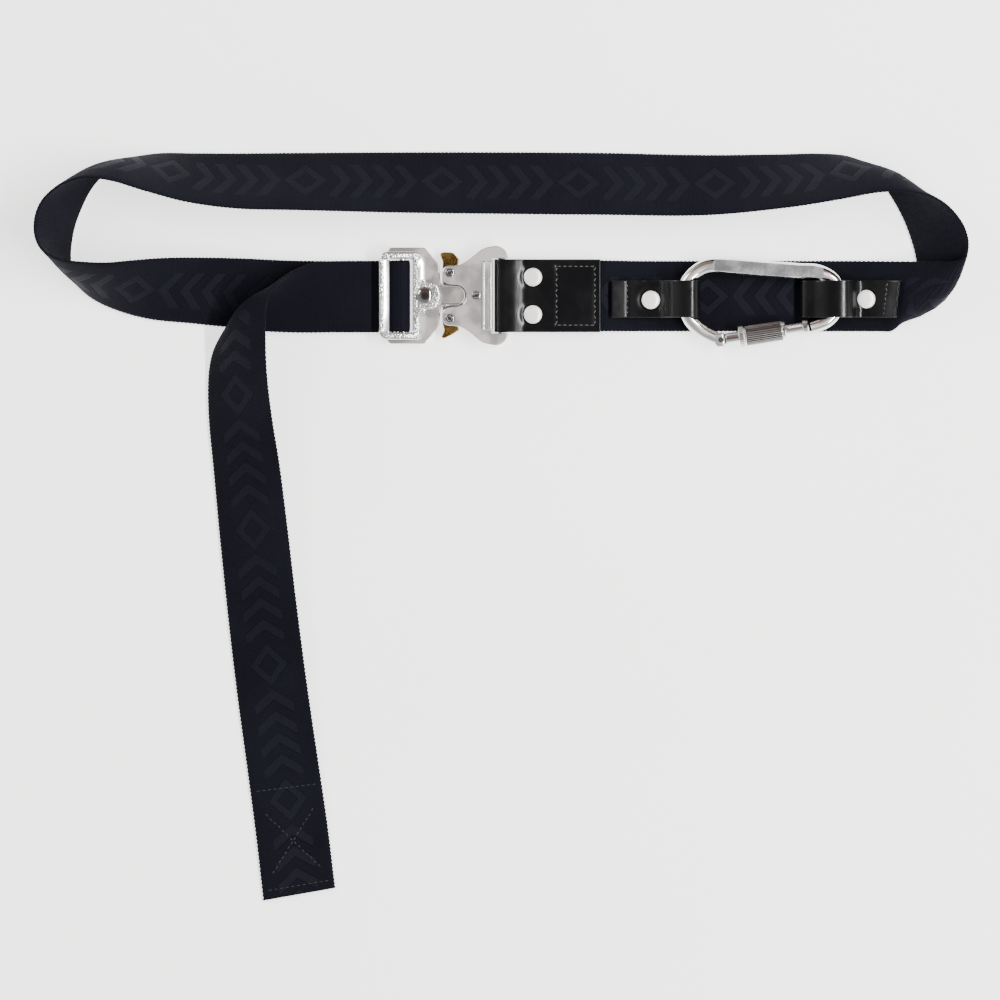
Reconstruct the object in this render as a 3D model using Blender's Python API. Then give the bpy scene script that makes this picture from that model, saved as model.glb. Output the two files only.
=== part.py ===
"""A webbing belt with a quick-release buckle and a screw-gate carabiner, lying flat with its loop
open and its free tail hanging to one side. Metres, +Z up, Z = 0 is the surface it lies on.

The working frame has X along the front run and Y across it, in millimetres. recentre() moves the
whole belt at the end so that the middle of its base is the origin.
"""

import math

import bmesh
import bpy
import numpy as np
from mathutils import Matrix, Vector

MM = 0.001

# Webbing
WEB_THICK = 1.8
WEB_COLUMNS = 5
SECTION_STEP = 8.0

# Buckle levels, bottom to top
BASE_Z = (0.3, 2.5)
MIDDLE_Z = (2.8, 6.2)
LEVER_Z = (3.0, 6.0)
TOP_Z = (6.5, 9.0)
RING_Z = (6.5, 9.8)
PLATE_EDGE = 0.5

# The webbing's bar and the bar inside the leather fold
WEB_BAR_X = -52.0
WEB_BAR_Z = 4.5
WEB_BAR_RADIUS = 2.0
WRAP_GAP = 0.3
WRAP_LEAVES_AT = 114.0
SEAM_GAP = 0.35
TAB_BAR_X = 0.4
TAB_BAR_Z = 4.2
TAB_BAR_RADIUS = 1.75
TAB_BAR_HALF = 21.0

# Buckle plan sizes
RING_LEFT, RING_RIGHT = -64.5, -40.1
RING_HALF = 23.2
RING_CORNER = 4.6
RING_SLOT = (-59.0, -46.6, 19.6)
BOSS = (-38.7, 0.0, 6.5)
DOME = (-40.1, 0.0, 4.6, 1.5)
PLATE_LEFT = -60.3
PLATE_HALF = 25.5
TONGUE_END = -18.2
TONGUE_HALF = 5.9
NOTCH_HALF = 7.1
NOTCH_END = -15.6
SCREW_RADIUS = 2.4
SCREW_SHANK = 1.5
SCREW_HOLE = 1.8
LEVER_PIVOT = (-27.1, 12.0)
MIDDLE_SCREW = (-13.1, 0.0)

# Leather
TAB_END = 52.5
TAB_HALF = 19.25
TAB_THICK = 1.9
STRIP_LOW, STRIP_HIGH = -11.5, 8.0
RIVET_HEAD = (4.8, 1.2)
RIVET_SHANK = 1.9
RIVET_HOLE = 2.2

# Carabiner
CARABINER_Z = 8.1
HINGE = (115.9, -23.3)
GATE_TILT = 8.8
GATE_LENGTH = 46.8
GATE_RADIUS = 3.0
SLEEVE_START, SLEEVE_LENGTH = 9.6, 25.0
SLEEVE_BORE, SLEEVE_RADIUS = 3.3, 5.3
FLANGE_RADIUS, FLANGE_LENGTH = 6.0, 3.0
NUT_START, NUT_RADIUS = 43.4, 4.0
TANG_Z = (6.6, 9.6)
PIN_RADIUS = 1.5

# One row for each place where the webbing changes: the low edge's x, y, z, the other edge's x, y, z,
# and how far its middle bows to the patterned side.
LOOP = (
    ("under the tab", 24.0, -18.8, 3.2, 24.0, 18.8, 3.2, 0.0),
    ("tab middle", 48.0, -18.8, 3.2, 48.0, 18.8, 3.2, 0.0),
    ("tab end", 54.5, -18.8, 3.2, 54.5, 18.7, 3.2, 0.0),
    ("front a", 68.0, -18.8, 1.1, 68.0, 18.5, 1.1, 0.0),
    ("front b", 80.0, -18.8, 1.0, 80.0, 18.4, 1.0, 0.0),
    ("front c", 152.0, -18.8, 1.0, 152.0, 18.4, 1.0, 0.0),
    ("front d", 182.0, -18.8, 1.0, 184.0, 18.4, 1.3, 0.0),
    ("right fold 1", 200.0, -18.8, 1.2, 210.6, 18.1, 6.0, 1.0),
    ("right fold 2", 205.8, -18.6, 1.9, 228.5, 17.9, 14.0, 4.0),
    ("right fold 3", 210.1, -14.9, 2.0, 239.1, 17.9, 20.5, 7.5),
    ("right fold 4", 213.8, -10.1, 1.6, 244.1, 20.5, 24.0, 8.0),
    ("right end 1", 216.7, -3.8, 1.2, 245.7, 25.5, 26.5, 6.5),
    ("right end 2", 218.5, 3.6, 1.0, 245.4, 30.8, 28.5, 4.5),
    ("right end 3", 219.6, 12.1, 0.9, 243.6, 36.1, 30.5, 2.5),
    ("right end 4", 218.8, 21.0, 0.9, 240.7, 40.8, 32.0, 1.5),
    ("right end 5", 216.4, 30.0, 0.9, 237.0, 45.0, 33.5, 1.5),
    ("right end 6", 213.0, 39.2, 0.9, 232.5, 48.7, 34.5, 2.0),
    ("right end 7", 208.7, 47.7, 0.9, 227.2, 51.4, 35.5, 3.5),
    ("right fold 5", 203.2, 56.4, 0.9, 220.1, 53.2, 36.0, 5.5),
    ("right fold 6", 195.8, 65.1, 0.9, 211.1, 54.3, 35.5, 6.0),
    ("right fold 7", 184.2, 72.8, 0.9, 197.4, 53.8, 33.0, 3.5),
    ("back a", 168.4, 74.9, 0.9, 176.8, 50.1, 29.0, 1.0),
    ("back b", 144.6, 74.6, 0.9, 148.3, 45.8, 24.5, 0.0),
    ("back c", 105.0, 74.3, 0.9, 106.1, 42.1, 20.0, 0.0),
    ("back d", 52.3, 75.4, 0.9, 52.3, 42.4, 18.8, 0.0),
    ("back e", -0.5, 75.7, 0.9, -0.5, 42.9, 19.2, 0.0),
    ("back f", -53.3, 75.7, 0.9, -53.3, 43.5, 20.2, 0.0),
    ("back g", -106.1, 75.4, 0.9, -106.6, 44.8, 22.6, 0.0),
    ("back h", -137.8, 75.1, 0.9, -138.8, 45.6, 24.5, 0.0),
    ("left fold 1", -161.5, 75.1, 0.9, -165.2, 49.0, 28.5, 1.0),
    ("left fold 2", -180.0, 74.9, 0.9, -187.4, 54.8, 33.0, 2.5),
    ("left fold 3", -194.2, 72.2, 0.9, -205.3, 60.1, 36.2, 4.0),
    ("left fold 4", -203.7, 68.0, 0.9, -220.1, 61.4, 36.0, 4.0),
    ("left end 1", -211.1, 62.5, 0.9, -231.7, 57.7, 33.5, 2.5),
    ("left end 2", -216.7, 55.6, 0.9, -240.7, 50.6, 31.2, 1.0),
    ("left end 3", -221.1, 46.9, 0.9, -244.9, 42.1, 30.8, 0.5),
    ("left end 4", -224.8, 36.9, 0.9, -245.4, 33.2, 32.5, 1.0),
    ("left end 5", -226.7, 26.8, 0.9, -242.8, 26.0, 35.0, 2.0),
    ("left fold 5", -227.0, 18.4, 0.9, -237.5, 21.3, 36.8, 3.0),
    ("left fold 6", -225.4, 10.5, 0.9, -229.1, 18.4, 37.0, 3.5),
    ("left fold 7", -220.6, 3.1, 0.9, -218.5, 17.3, 35.5, 3.0),
    ("left fold 8", -212.7, -3.0, 0.9, -206.9, 17.1, 31.8, 2.0),
    ("front e", -200.0, -8.5, 0.9, -193.7, 18.4, 26.5, 1.0),
    ("front f", -184.2, -12.5, 0.9, -177.3, 19.7, 20.5, 0.5),
    ("front g", -163.1, -14.6, 0.9, -157.8, 20.0, 14.5, 0.0),
    ("front h", -139.3, -17.0, 0.9, -136.2, 19.7, 8.5, 0.0),
    ("front i", -114.0, -18.8, 1.0, -112.9, 18.7, 3.4, 0.0),
    ("front j", -90.3, -19.3, 1.0, -90.3, 18.4, 1.1, 0.0),
    ("under the ring", -68.1, -19.3, 1.0, -68.1, 18.4, 1.0, 0.0),
    ("below the bar", -54.0, -19.1, 1.3, -54.0, 18.6, 1.3, 0.0),
)
TAIL = (
    ("over the bar", -54.4, -19.1, 6.9, -54.4, 18.6, 6.9, 0.0),
    ("under the ring", -61.0, -19.2, 4.0, -61.0, 18.5, 4.0, 0.0),
    ("past the ring", -68.0, -19.3, 3.2, -68.0, 18.4, 3.2, 0.0),
    ("run", -82.3, -19.3, 3.1, -82.3, 18.4, 3.1, 0.0),
    ("twist 1", -102.9, -19.6, 3.4, -99.2, 17.3, 6.5, 0.5),
    ("twist 2", -116.6, -19.3, 4.2, -107.1, 14.2, 12.0, 2.0),
    ("twist 3", -127.7, -18.6, 4.8, -114.0, 9.7, 18.5, 4.0),
    ("twist 4", -135.6, -17.2, 5.2, -119.0, 4.4, 24.5, 5.5),
    ("twist 5", -141.2, -17.0, 5.2, -122.2, -1.1, 28.5, 6.0),
    ("twist 6", -145.1, -18.8, 4.8, -123.5, -7.5, 30.2, 5.5),
    ("twist 7", -148.6, -23.3, 4.0, -123.8, -14.3, 29.6, 4.5),
    ("drop 1", -152.0, -30.2, 2.6, -123.8, -23.8, 27.2, 3.0),
    ("drop 2", -154.1, -39.7, 1.3, -123.5, -36.5, 23.6, 1.5),
    ("drop 3", -154.6, -52.3, 0.9, -122.3, -50.7, 20.6, 0.5),
    ("tail a", -153.9, -69.2, 0.9, -120.1, -67.6, 18.0, 0.0),
    ("tail b", -151.7, -91.9, 0.9, -116.6, -89.3, 15.0, 0.0),
    ("tail c", -148.8, -123.6, 0.9, -112.7, -120.4, 12.0, 0.0),
    ("tail d", -144.6, -164.8, 0.9, -107.9, -161.1, 8.6, 0.0),
    ("tail e", -139.6, -208.0, 0.9, -102.4, -203.8, 5.2, 0.0),
    ("tail f", -134.1, -248.7, 0.9, -96.6, -243.9, 2.4, 0.0),
    ("tail g", -129.6, -283.0, 0.9, -91.6, -278.2, 1.0, 0.0),
    ("tail end", -125.4, -319.5, 0.9, -87.4, -312.8, 0.9, 0.0),
)

# The carabiner's bar, from the gate's hinge round to its nose: x, y, half width in plan, half height.
CARABINER = (
    ("hinge", 112.6, -22.2, 3.75, 3.75),
    ("left low", 106.0, -18.6, 3.75, 3.75),
    ("left side", 98.9, -11.6, 3.75, 3.75),
    ("left", 95.9, -2.8, 3.75, 3.75),
    ("left high", 97.3, 6.2, 3.75, 3.75),
    ("left top", 103.6, 13.1, 3.8, 3.75),
    ("plaque start", 113.2, 16.0, 4.2, 3.5),
    ("plaque a", 128.0, 14.9, 4.35, 3.3),
    ("plaque b", 142.0, 13.9, 4.35, 3.3),
    ("plaque c", 156.0, 12.9, 4.35, 3.3),
    ("plaque end", 168.4, 11.9, 4.2, 3.5),
    ("right top", 175.6, 7.9, 3.75, 3.75),
    ("right", 178.9, 0.6, 3.75, 3.75),
    ("right side", 177.2, -7.2, 3.75, 3.75),
    ("right low", 171.6, -13.4, 3.7, 3.7),
    ("nose", 165.9, -15.9, 3.4, 3.4),
)


def clear_scene():
    for obj in list(bpy.data.objects):
        bpy.data.objects.remove(obj, do_unlink=True)


def material(name, colour, roughness, metallic):
    made = bpy.data.materials.new(name)
    made.use_nodes = True
    shader = made.node_tree.nodes["Principled BSDF"]
    shader.inputs["Base Color"].default_value = (*colour, 1.0)
    shader.inputs["Roughness"].default_value = roughness
    shader.inputs["Metallic"].default_value = metallic
    return made


def add_mesh(name, points, faces, look, caps=()):
    """A closed mesh from points in millimetres, with its faces turned outwards.

    Each of caps lists point numbers loop by loop, and is filled flat between its loops.
    """
    work = bmesh.new()
    corners = [work.verts.new(Vector(p) * MM) for p in points]
    for face in faces:
        work.faces.new([corners[i] for i in face])
    for loops in caps:
        edges = []
        for loop in loops:
            pairs = zip(loop, loop[1:] + loop[:1])
            edges += [work.edges.get((corners[a], corners[b])) for a, b in pairs]
        bmesh.ops.triangle_fill(work, use_beauty=True, edges=edges, normal=(0.0, 0.0, 1.0))
    bmesh.ops.recalc_face_normals(work, faces=work.faces)
    if work.calc_volume(signed=True) < 0:
        bmesh.ops.reverse_faces(work, faces=work.faces)
    mesh = bpy.data.meshes.new(name)
    work.to_mesh(mesh)
    work.free()
    mesh.materials.append(look)
    obj = bpy.data.objects.new(name, mesh)
    bpy.context.scene.collection.objects.link(obj)
    return obj


def combine(target, other, operation):
    """Applies an exact Boolean to target's mesh and removes the other object."""
    modifier = target.modifiers.new("combine", "BOOLEAN")
    modifier.operation = operation
    modifier.solver = "EXACT"
    modifier.object = other
    graph = bpy.context.evaluated_depsgraph_get()
    mesh = bpy.data.meshes.new_from_object(target.evaluated_get(graph))
    target.modifiers.clear()
    old = target.data
    target.data = mesh
    mesh.name = target.name
    bpy.data.meshes.remove(old)
    bpy.data.objects.remove(other, do_unlink=True)


def circle(x, y, radius, sides, start=0.0):
    """A circle's corners, anticlockwise."""
    turns = [start + 2 * math.pi * i / sides for i in range(sides)]
    return [(x + radius * math.cos(turn), y + radius * math.sin(turn)) for turn in turns]


def arc(x, y, radius, start, end, steps):
    """Points on an arc, by angles in degrees."""
    angles = np.radians(np.linspace(start, end, steps + 1))
    return [(x + radius * math.cos(a), y + radius * math.sin(a)) for a in angles]


def inset(outline, distance):
    """The outline moved to its left side by distance, corner by corner."""
    p = np.array(outline, float)
    ahead = np.roll(p, -1, axis=0) - p
    ahead /= np.linalg.norm(ahead, axis=1)[:, None]
    behind = np.roll(ahead, 1, axis=0)
    normal_a = np.stack([-ahead[:, 1], ahead[:, 0]], 1)
    normal_b = np.stack([-behind[:, 1], behind[:, 0]], 1)
    middle = normal_a + normal_b
    middle /= np.maximum((middle * normal_a).sum(1), 0.3)[:, None]
    return p + distance * middle


def plate(name, outline, z_range, look, holes=(), edge=PLATE_EDGE, rounds=2):
    """A flat plate with rounded edges. The outline runs anticlockwise and each hole clockwise."""
    low, high = z_range
    levels = []
    for i in range(rounds + 1):
        turn = math.radians(90 / rounds * i)
        levels.append((edge * (1 - math.sin(turn)), low + edge * (1 - math.cos(turn))))
    for i in range(rounds + 1):
        turn = math.radians(90 - 90 / rounds * i)
        levels.append((edge * (1 - math.sin(turn)), high - edge * (1 - math.cos(turn))))
    loops = [list(outline)] + [list(hole) for hole in holes]
    points = []
    faces = []
    starts = []
    for loop in loops:
        starts.append(len(points))
        count = len(loop)
        for shift, z in levels:
            points += [(x, y, z) for x, y in inset(loop, shift)]
        for level in range(len(levels) - 1):
            for i in range(count):
                a = starts[-1] + level * count + i
                b = starts[-1] + level * count + (i + 1) % count
                faces.append((a, b, b + count, a + count))
    caps = []
    for level in (0, len(levels) - 1):
        caps.append([
            [start + level * len(loop) + i for i in range(len(loop))] for start, loop in zip(starts, loops)
        ])
    return add_mesh(name, points, faces, look, caps)


def turned(name, profile, origin, direction, sides, look):
    """A body of revolution: profile rows are (distance along, radius), first and last at the ends."""
    along = Vector(direction).normalized()
    side = along.orthogonal().normalized()
    other = along.cross(side)
    points = []
    for distance, radius in profile:
        for i in range(sides):
            turn = 2 * math.pi * i / sides
            points.append(
                Vector(origin) + along * distance + (side * math.cos(turn) + other * math.sin(turn)) * radius
            )
    faces = []
    rows = len(profile)
    closed = profile[0] == profile[-1]
    for row in range(rows - 1):
        following = 0 if closed and row == rows - 2 else row + 1
        for i in range(sides):
            j = (i + 1) % sides
            faces.append((row * sides + i, row * sides + j, following * sides + j, following * sides + i))
    if closed:
        points = points[: (rows - 1) * sides]
    else:
        faces.append(tuple(range(sides)))
        faces.append(tuple((rows - 1) * sides + i for i in range(sides)))
    return add_mesh(name, points, faces, look)


def ribbon(path, thickness):
    """The outline of a bent band, from its middle line and its thickness."""
    p = np.array(path, float)
    ahead = np.gradient(p, axis=0)
    ahead /= np.linalg.norm(ahead, axis=1)[:, None]
    normal = np.stack([-ahead[:, 1], ahead[:, 0]], 1)
    left = p + normal * thickness / 2
    right = p - normal * thickness / 2
    return [tuple(q) for q in right] + [tuple(q) for q in left[::-1]]


def across(name, outline, y_range, look, holes=(), slant=0.0, slant_from=0.0):
    """An outline in X and Z carried across the belt, its far end slanted past slant_from."""
    body = plate(name, outline, y_range, look, holes, edge=0.3, rounds=1)
    middle = sum(y_range) / 2 * MM
    for vertex in body.data.vertices:
        x, z, y = vertex.co
        share = min(max((x / MM - slant_from) / 6.0, 0.0), 1.0)
        vertex.co = (x + share * slant * (y - middle), y, z)
    body.data.flip_normals()
    return body


def spline(rows):
    """Smooth edge lines through the table's rows, as dense rows of low edge, high edge and bow."""
    p = np.array([row[1:] for row in rows], float)
    low = np.linalg.norm(np.diff(p[:, :3], axis=0), axis=1)
    high = np.linalg.norm(np.diff(p[:, 3:6], axis=0), axis=1)
    at = np.concatenate([[0.0], np.cumsum(np.sqrt(low + high))])
    slope = np.zeros_like(p)
    slope[1:-1] = (p[2:] - p[:-2]) / (at[2:] - at[:-2])[:, None]
    slope[0] = (p[1] - p[0]) / (at[1] - at[0])
    slope[-1] = (p[-1] - p[-2]) / (at[-1] - at[-2])
    dense = []
    for i in range(len(p) - 1):
        span = at[i + 1] - at[i]
        for t in np.linspace(0.0, 1.0, 24, endpoint=False):
            dense.append(
                (2 * t**3 - 3 * t**2 + 1) * p[i]
                + (t**3 - 2 * t**2 + t) * span * slope[i]
                + (3 * t**2 - 2 * t**3) * p[i + 1]
                + (t**3 - t**2) * span * slope[i + 1]
            )
    dense.append(p[-1])
    return np.array(dense)


def resample(dense, step):
    low = np.linalg.norm(np.diff(dense[:, :3], axis=0), axis=1)
    high = np.linalg.norm(np.diff(dense[:, 3:6], axis=0), axis=1)
    at = np.concatenate([[0.0], np.cumsum((low + high) / 2)])
    places = np.linspace(0.0, at[-1], int(round(at[-1] / step)) + 1)
    return np.stack([np.interp(places, at, dense[:, k]) for k in range(dense.shape[1])], 1)


def wrap_rows():
    """The webbing's turn round its bar, from below the bar to its top."""
    radius = WEB_BAR_RADIUS + WRAP_GAP + WEB_THICK / 2
    rows = []
    for x, z in arc(WEB_BAR_X, WEB_BAR_Z, radius, -90.0, WRAP_LEAVES_AT, 8):
        rows.append((x, -19.1, z, x, 18.6, z, 0.0))
    return np.array(rows)


def webbing_runs():
    """The webbing's sections in two runs: the loop with its turn round the bar, and the free tail."""
    loop = np.concatenate([resample(spline(LOOP), SECTION_STEP), wrap_rows()])
    tail = resample(spline(TAIL), SECTION_STEP)
    back = loop[-1] - tail[0]
    lip = tail[0] + back * SEAM_GAP / np.linalg.norm(back[:3])
    return np.concatenate([loop, [lip]]), tail


def make_webbing(name, rows, look):
    low, high, bow = rows[:, :3], rows[:, 3:6], rows[:, 6]
    share = np.linspace(0.0, 1.0, WEB_COLUMNS)
    ahead = np.gradient((low + high) / 2, axis=0)
    ahead /= np.linalg.norm(ahead, axis=1)[:, None]
    face = np.cross(ahead, high - low)
    face /= np.linalg.norm(face, axis=1)[:, None]
    hump = (4 * share * (1 - share))[None, :, None] * bow[:, None, None]
    middle = low[:, None, :] + share[None, :, None] * (high - low)[:, None, :] + hump * face[:, None, :]
    along = np.gradient(middle, axis=0)
    side = np.gradient(middle, axis=1)
    normal = np.cross(along, side)
    normal /= np.linalg.norm(normal, axis=2)[:, :, None]
    count = len(rows)
    ring = np.concatenate(
        [middle + normal * WEB_THICK / 2, (middle - normal * WEB_THICK / 2)[:, ::-1]], axis=1
    )
    points = ring.reshape(-1, 3)
    sides = 2 * WEB_COLUMNS
    faces = []
    for i in range(count - 1):
        for j in range(sides):
            a, b = i * sides + j, i * sides + (j + 1) % sides
            faces.append((a, b, b + sides, a + sides))
    for start in (0, (count - 1) * sides):
        for j in range(WEB_COLUMNS - 1):
            faces.append((start + j, start + j + 1, start + sides - 2 - j, start + sides - 1 - j))
    return add_mesh(name, points, faces, look)


def bar(name, x, z, radius, half, look):
    """A round bar across the belt."""
    return turned(name, ((0.0, radius), (2 * half, radius)), (x, -half, z), (0, 1, 0), 16, look)


def make_ring(look):
    left, right, half, r = RING_LEFT, RING_RIGHT, RING_HALF, RING_CORNER
    x, y, radius = BOSS
    meets = math.degrees(math.acos((right - x) / radius))
    outline = (
        arc(left + r, half - r, r, 90, 180, 4)
        + arc(left + r, r - half, r, 180, 270, 4)
        + arc(right - r, r - half, r, 270, 360, 4)
        + arc(x, y, radius, -meets, meets, 10)
        + arc(right - r, half - r, r, 0, 90, 4)
    )
    a, b, c = RING_SLOT
    slot = [(a, -c), (a, c), (b, c), (b, -c)]
    hole = circle(DOME[0], DOME[1], 2.1, 16)[::-1]
    return plate("adjuster_frame", outline, RING_Z, look, (slot, hole), edge=1.0)


def make_male_plate(look):
    upper = [
        (PLATE_LEFT, 19.9),
        (-46.6, 19.9),
    ]
    shoulder = [
        (-32.6, TONGUE_HALF + 0.6),
        (-32.6, 16.6),
        (-40.1, PLATE_HALF),
        (-58.6, PLATE_HALF),
        (PLATE_LEFT, 23.8),
    ]
    tip = arc(TONGUE_END - TONGUE_HALF, 0.0, TONGUE_HALF, -90, 90, 10)
    outline = (
        [(x, -y) for x, y in reversed(shoulder)]
        + [(-31.4, -TONGUE_HALF)]
        + tip
        + [(-31.4, TONGUE_HALF)]
        + shoulder
        + upper
        + [(x, -y) for x, y in reversed(upper)]
    )
    hole = circle(DOME[0], DOME[1], 2.1, 16)[::-1]
    body = plate("male_plate", outline, MIDDLE_Z, look, (hole,))
    combine(body, bar("web_bar", WEB_BAR_X, WEB_BAR_Z, WEB_BAR_RADIUS, 20.6, look), "UNION")
    raised = TONGUE_HALF - 1.1
    tip = arc(TONGUE_END - TONGUE_HALF, 0.0, raised, -90, 90, 10)
    top = plate("tongue_top", tip + [(-30.0, raised), (-30.0, -raised)], (4.5, 8.3), look, edge=0.8)
    combine(body, top, "UNION")
    return body


def female_outline():
    """The fixed half's outline, with its two ears to the left and its rounded cheeks to the right."""
    upper = (
        [(3.9, 19.9)]
        + arc(-2.9, 19.6, 6.7, 8, 100, 6)
        + [(-10.2, 24.7), (-15.3, 20.5), (-18.7, 17.9), (-21.5, 16.4)]
        + arc(-27.1, 12.0, 3.9, 80, 180, 6)
    )
    return upper, [(x, -y) for x, y in reversed(upper)]


def notch():
    """The U round the tongue, from its upper lip to its lower lip."""
    turn = arc(NOTCH_END - NOTCH_HALF, 0.0, NOTCH_HALF, 90, -90, 10)
    return [(-31.0, NOTCH_HALF + 0.6)] + turn + [(-31.0, -NOTCH_HALF - 0.6)]


def screw_holes():
    places = ((LEVER_PIVOT[0], LEVER_PIVOT[1]), (LEVER_PIVOT[0], -LEVER_PIVOT[1]), MIDDLE_SCREW)
    return tuple(circle(x, y, SCREW_HOLE, 10)[::-1] for x, y in places)


def make_female_top(look):
    upper, lower = female_outline()
    outline = upper + notch() + lower + [(-0.2, -19.9), (-4.6, -19.9), (-4.6, 19.9), (-0.2, 19.9)]
    body = plate("female_top", outline, TOP_Z, look, screw_holes())
    for x in (-9.2, -6.0):
        ridge = plate(
            "ridge",
            [(x - 1.2, -23.0), (x + 1.2, -23.4), (x + 1.2, 23.4), (x - 1.2, 23.0)],
            (8.0, 9.9),
            look,
            edge=0.6,
            rounds=1,
        )
        combine(body, ridge, "UNION")
    return body


def make_female_bottom(look):
    upper, lower = female_outline()
    open_side = [(-1.0, -19.9), (-6.0, -19.9), (-6.0, 19.9), (-1.0, 19.9)]
    outline = upper + lower + open_side
    body = plate("female_bottom", outline, BASE_Z, look, screw_holes(), rounds=1)
    for sign in (1, -1):
        cheek = [(3.7, 20.1), (3.6, 21.6), (1.6, 24.4), (-2.4, 25.8), (-7.2, 25.6), (-8.6, 24.8)]
        cheek.append((-8.6, 20.1))
        if sign < 0:
            cheek = [(x, -y) for x, y in reversed(cheek)]
        combine(body, plate("cheek", cheek, (1.4, 6.2), look, edge=0.3, rounds=1), "UNION")
    combine(body, bar("tab_bar", TAB_BAR_X, TAB_BAR_Z, TAB_BAR_RADIUS, TAB_BAR_HALF, look), "UNION")
    return body


def make_lever(name, sign, look):
    """A brass lever on its screw: the finger tab outside, the catch beside the tongue."""
    x, y = LEVER_PIVOT
    outline = [
        (x - 3.6, 14.6),
        (x - 3.9, y),
        (x - 2.6, y - 2.9),
        (x, y - 3.9),
        (x + 5.4, y - 5.2),
        (x + 9.4, y - 4.6),
        (x + 9.4, y - 2.2),
        (x + 5.2, y + 0.6),
        (x + 4.1, 15.6),
        (-22.6, 17.2),
        (-22.4, 20.2),
        (-24.2, 22.4),
        (-27.4, 23.0),
        (-30.2, 21.8),
        (-32.6, 22.2),
        (-31.6, 19.6),
        (-31.2, 17.4),
    ]
    hole = circle(x, y, 1.7, 14)[::-1]
    if sign < 0:
        outline = [(px, -py) for px, py in reversed(outline)]
        hole = [(px, -py) for px, py in reversed(hole)]
    body = plate(name, outline, LEVER_Z, look, (hole,), rounds=1)
    origin = Vector((x * MM, sign * y * MM, 0.0))
    body.data.transform(Matrix.Translation(-origin))
    body.location = origin
    return body


def make_screw(name, x, y, look):
    profile = (
        (0.5, SCREW_SHANK),
        (9.15, SCREW_SHANK),
        (9.15, SCREW_RADIUS),
        (9.6, SCREW_RADIUS),
        (9.85, SCREW_RADIUS - 0.4),
    )
    return turned(name, profile, (x, y, 0.0), (0, 0, 1), 12, look)


def make_rivet(name, x, y, foot, seat, look, radius=RIVET_HEAD[0], height=RIVET_HEAD[1]):
    """A domed rivet whose shank starts at foot and whose head sits just over seat."""
    base = seat + 0.2
    profile = (
        (foot, RIVET_SHANK),
        (base, RIVET_SHANK),
        (base, radius),
        (base + 0.35 * height, radius),
        (base + 0.72 * height, radius * 0.9),
        (base + 0.93 * height, radius * 0.62),
        (base + height, radius * 0.22),
    )
    return turned(name, profile, (x, y, 0.0), (0, 0, 1), 16, look)


def cut_hole(body, x, y, low, high, look):
    drill = turned("drill", ((low, RIVET_HOLE), (high, RIVET_HOLE)), (x, y, 0.0), (0, 0, 1), 16, look)
    combine(body, drill, "DIFFERENCE")


def make_leather_tab(look, rivets):
    """One piece of leather folded round the buckle's bar, with the webbing's end between its layers."""
    radius = TAB_BAR_RADIUS + WRAP_GAP + TAB_THICK / 2
    low, high = TAB_BAR_Z - radius, 5.4
    path = (
        [(TAB_END, low), (30.0, low), (8.0, low)]
        + arc(TAB_BAR_X, TAB_BAR_Z, radius, 270, 90, 10)
        + [(3.4, 7.1), (6.4, 6.7), (9.4, 6.0), (12.4, high + 0.1)]
        + [(16.0, high), (30.0, high), (TAB_END, high)]
    )
    body = across("leather_tab", ribbon(path, TAB_THICK)[::-1], (-TAB_HALF, TAB_HALF), look)
    for x, y in rivets:
        cut_hole(body, x, y, -2.0, 9.0, look)
    return body


def make_left_strip(look):
    """The left carabiner strip: two layers riveted down, opening into a loop round the bar."""
    x, z, outer, inner = 99.2, 8.35, 6.0, 4.4
    outline = (
        [(58.3, 4.6), (62.0, 3.9), (66.0, 2.9), (70.0, 2.4), (84.0, 2.35)]
        + arc(x, z, outer, -90, 90, 12)
        + [(94.8, 14.1), (91.0, 12.7), (87.2, 9.0), (84.6, 5.7)]
        + [(70.0, 5.65), (66.0, 6.1), (62.0, 7.0), (58.3, 7.7)]
    )
    hole = [(84.6, 3.95)] + arc(x, z, inner, -90, 90, 10) + [(95.0, 12.5), (91.8, 11.3), (88.2, 7.6)]
    body = across("loop_strip_left", outline, (STRIP_LOW, STRIP_HIGH), look, (hole[::-1],))
    cut_hole(body, 79.0, -2.2, 0.0, 9.0, look)
    return body


def make_right_strip(look):
    """The right carabiner strip: a long slack loop over the bar, riveted down at its far end."""
    outline = (
        arc(161.9, 6.4, 4.05, 90, 270, 10)
        + [(172.0, 2.35), (180.0, 2.35), (186.0, 2.75), (192.0, 3.4)]
        + [(198.0, 4.4), (204.0, 6.0), (210.0, 9.1)]
        + [(208.5, 11.9), (202.8, 8.9), (197.3, 7.3), (191.6, 6.5), (188.0, 6.6), (185.4, 10.3)]
        + [(182.8, 13.0), (179.2, 14.05), (173.8, 13.95), (170.0, 13.1), (165.2, 10.9)]
    )
    hole = (
        arc(161.9, 6.4, 2.45, 90, 270, 8)
        + [(172.0, 3.95), (180.0, 3.95), (185.2, 4.3), (186.4, 5.2)]
        + [(184.2, 9.4), (181.8, 11.6), (179.0, 12.45), (174.0, 12.35)]
        + [(170.6, 11.6), (166.0, 9.5)]
    )
    width = (STRIP_LOW, STRIP_HIGH)
    body = across("loop_strip_right", outline, width, look, (hole[::-1],), slant=0.12, slant_from=200.0)
    cut_hole(body, 192.6, -1.8, 0.0, 9.0, look)
    return body


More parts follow.
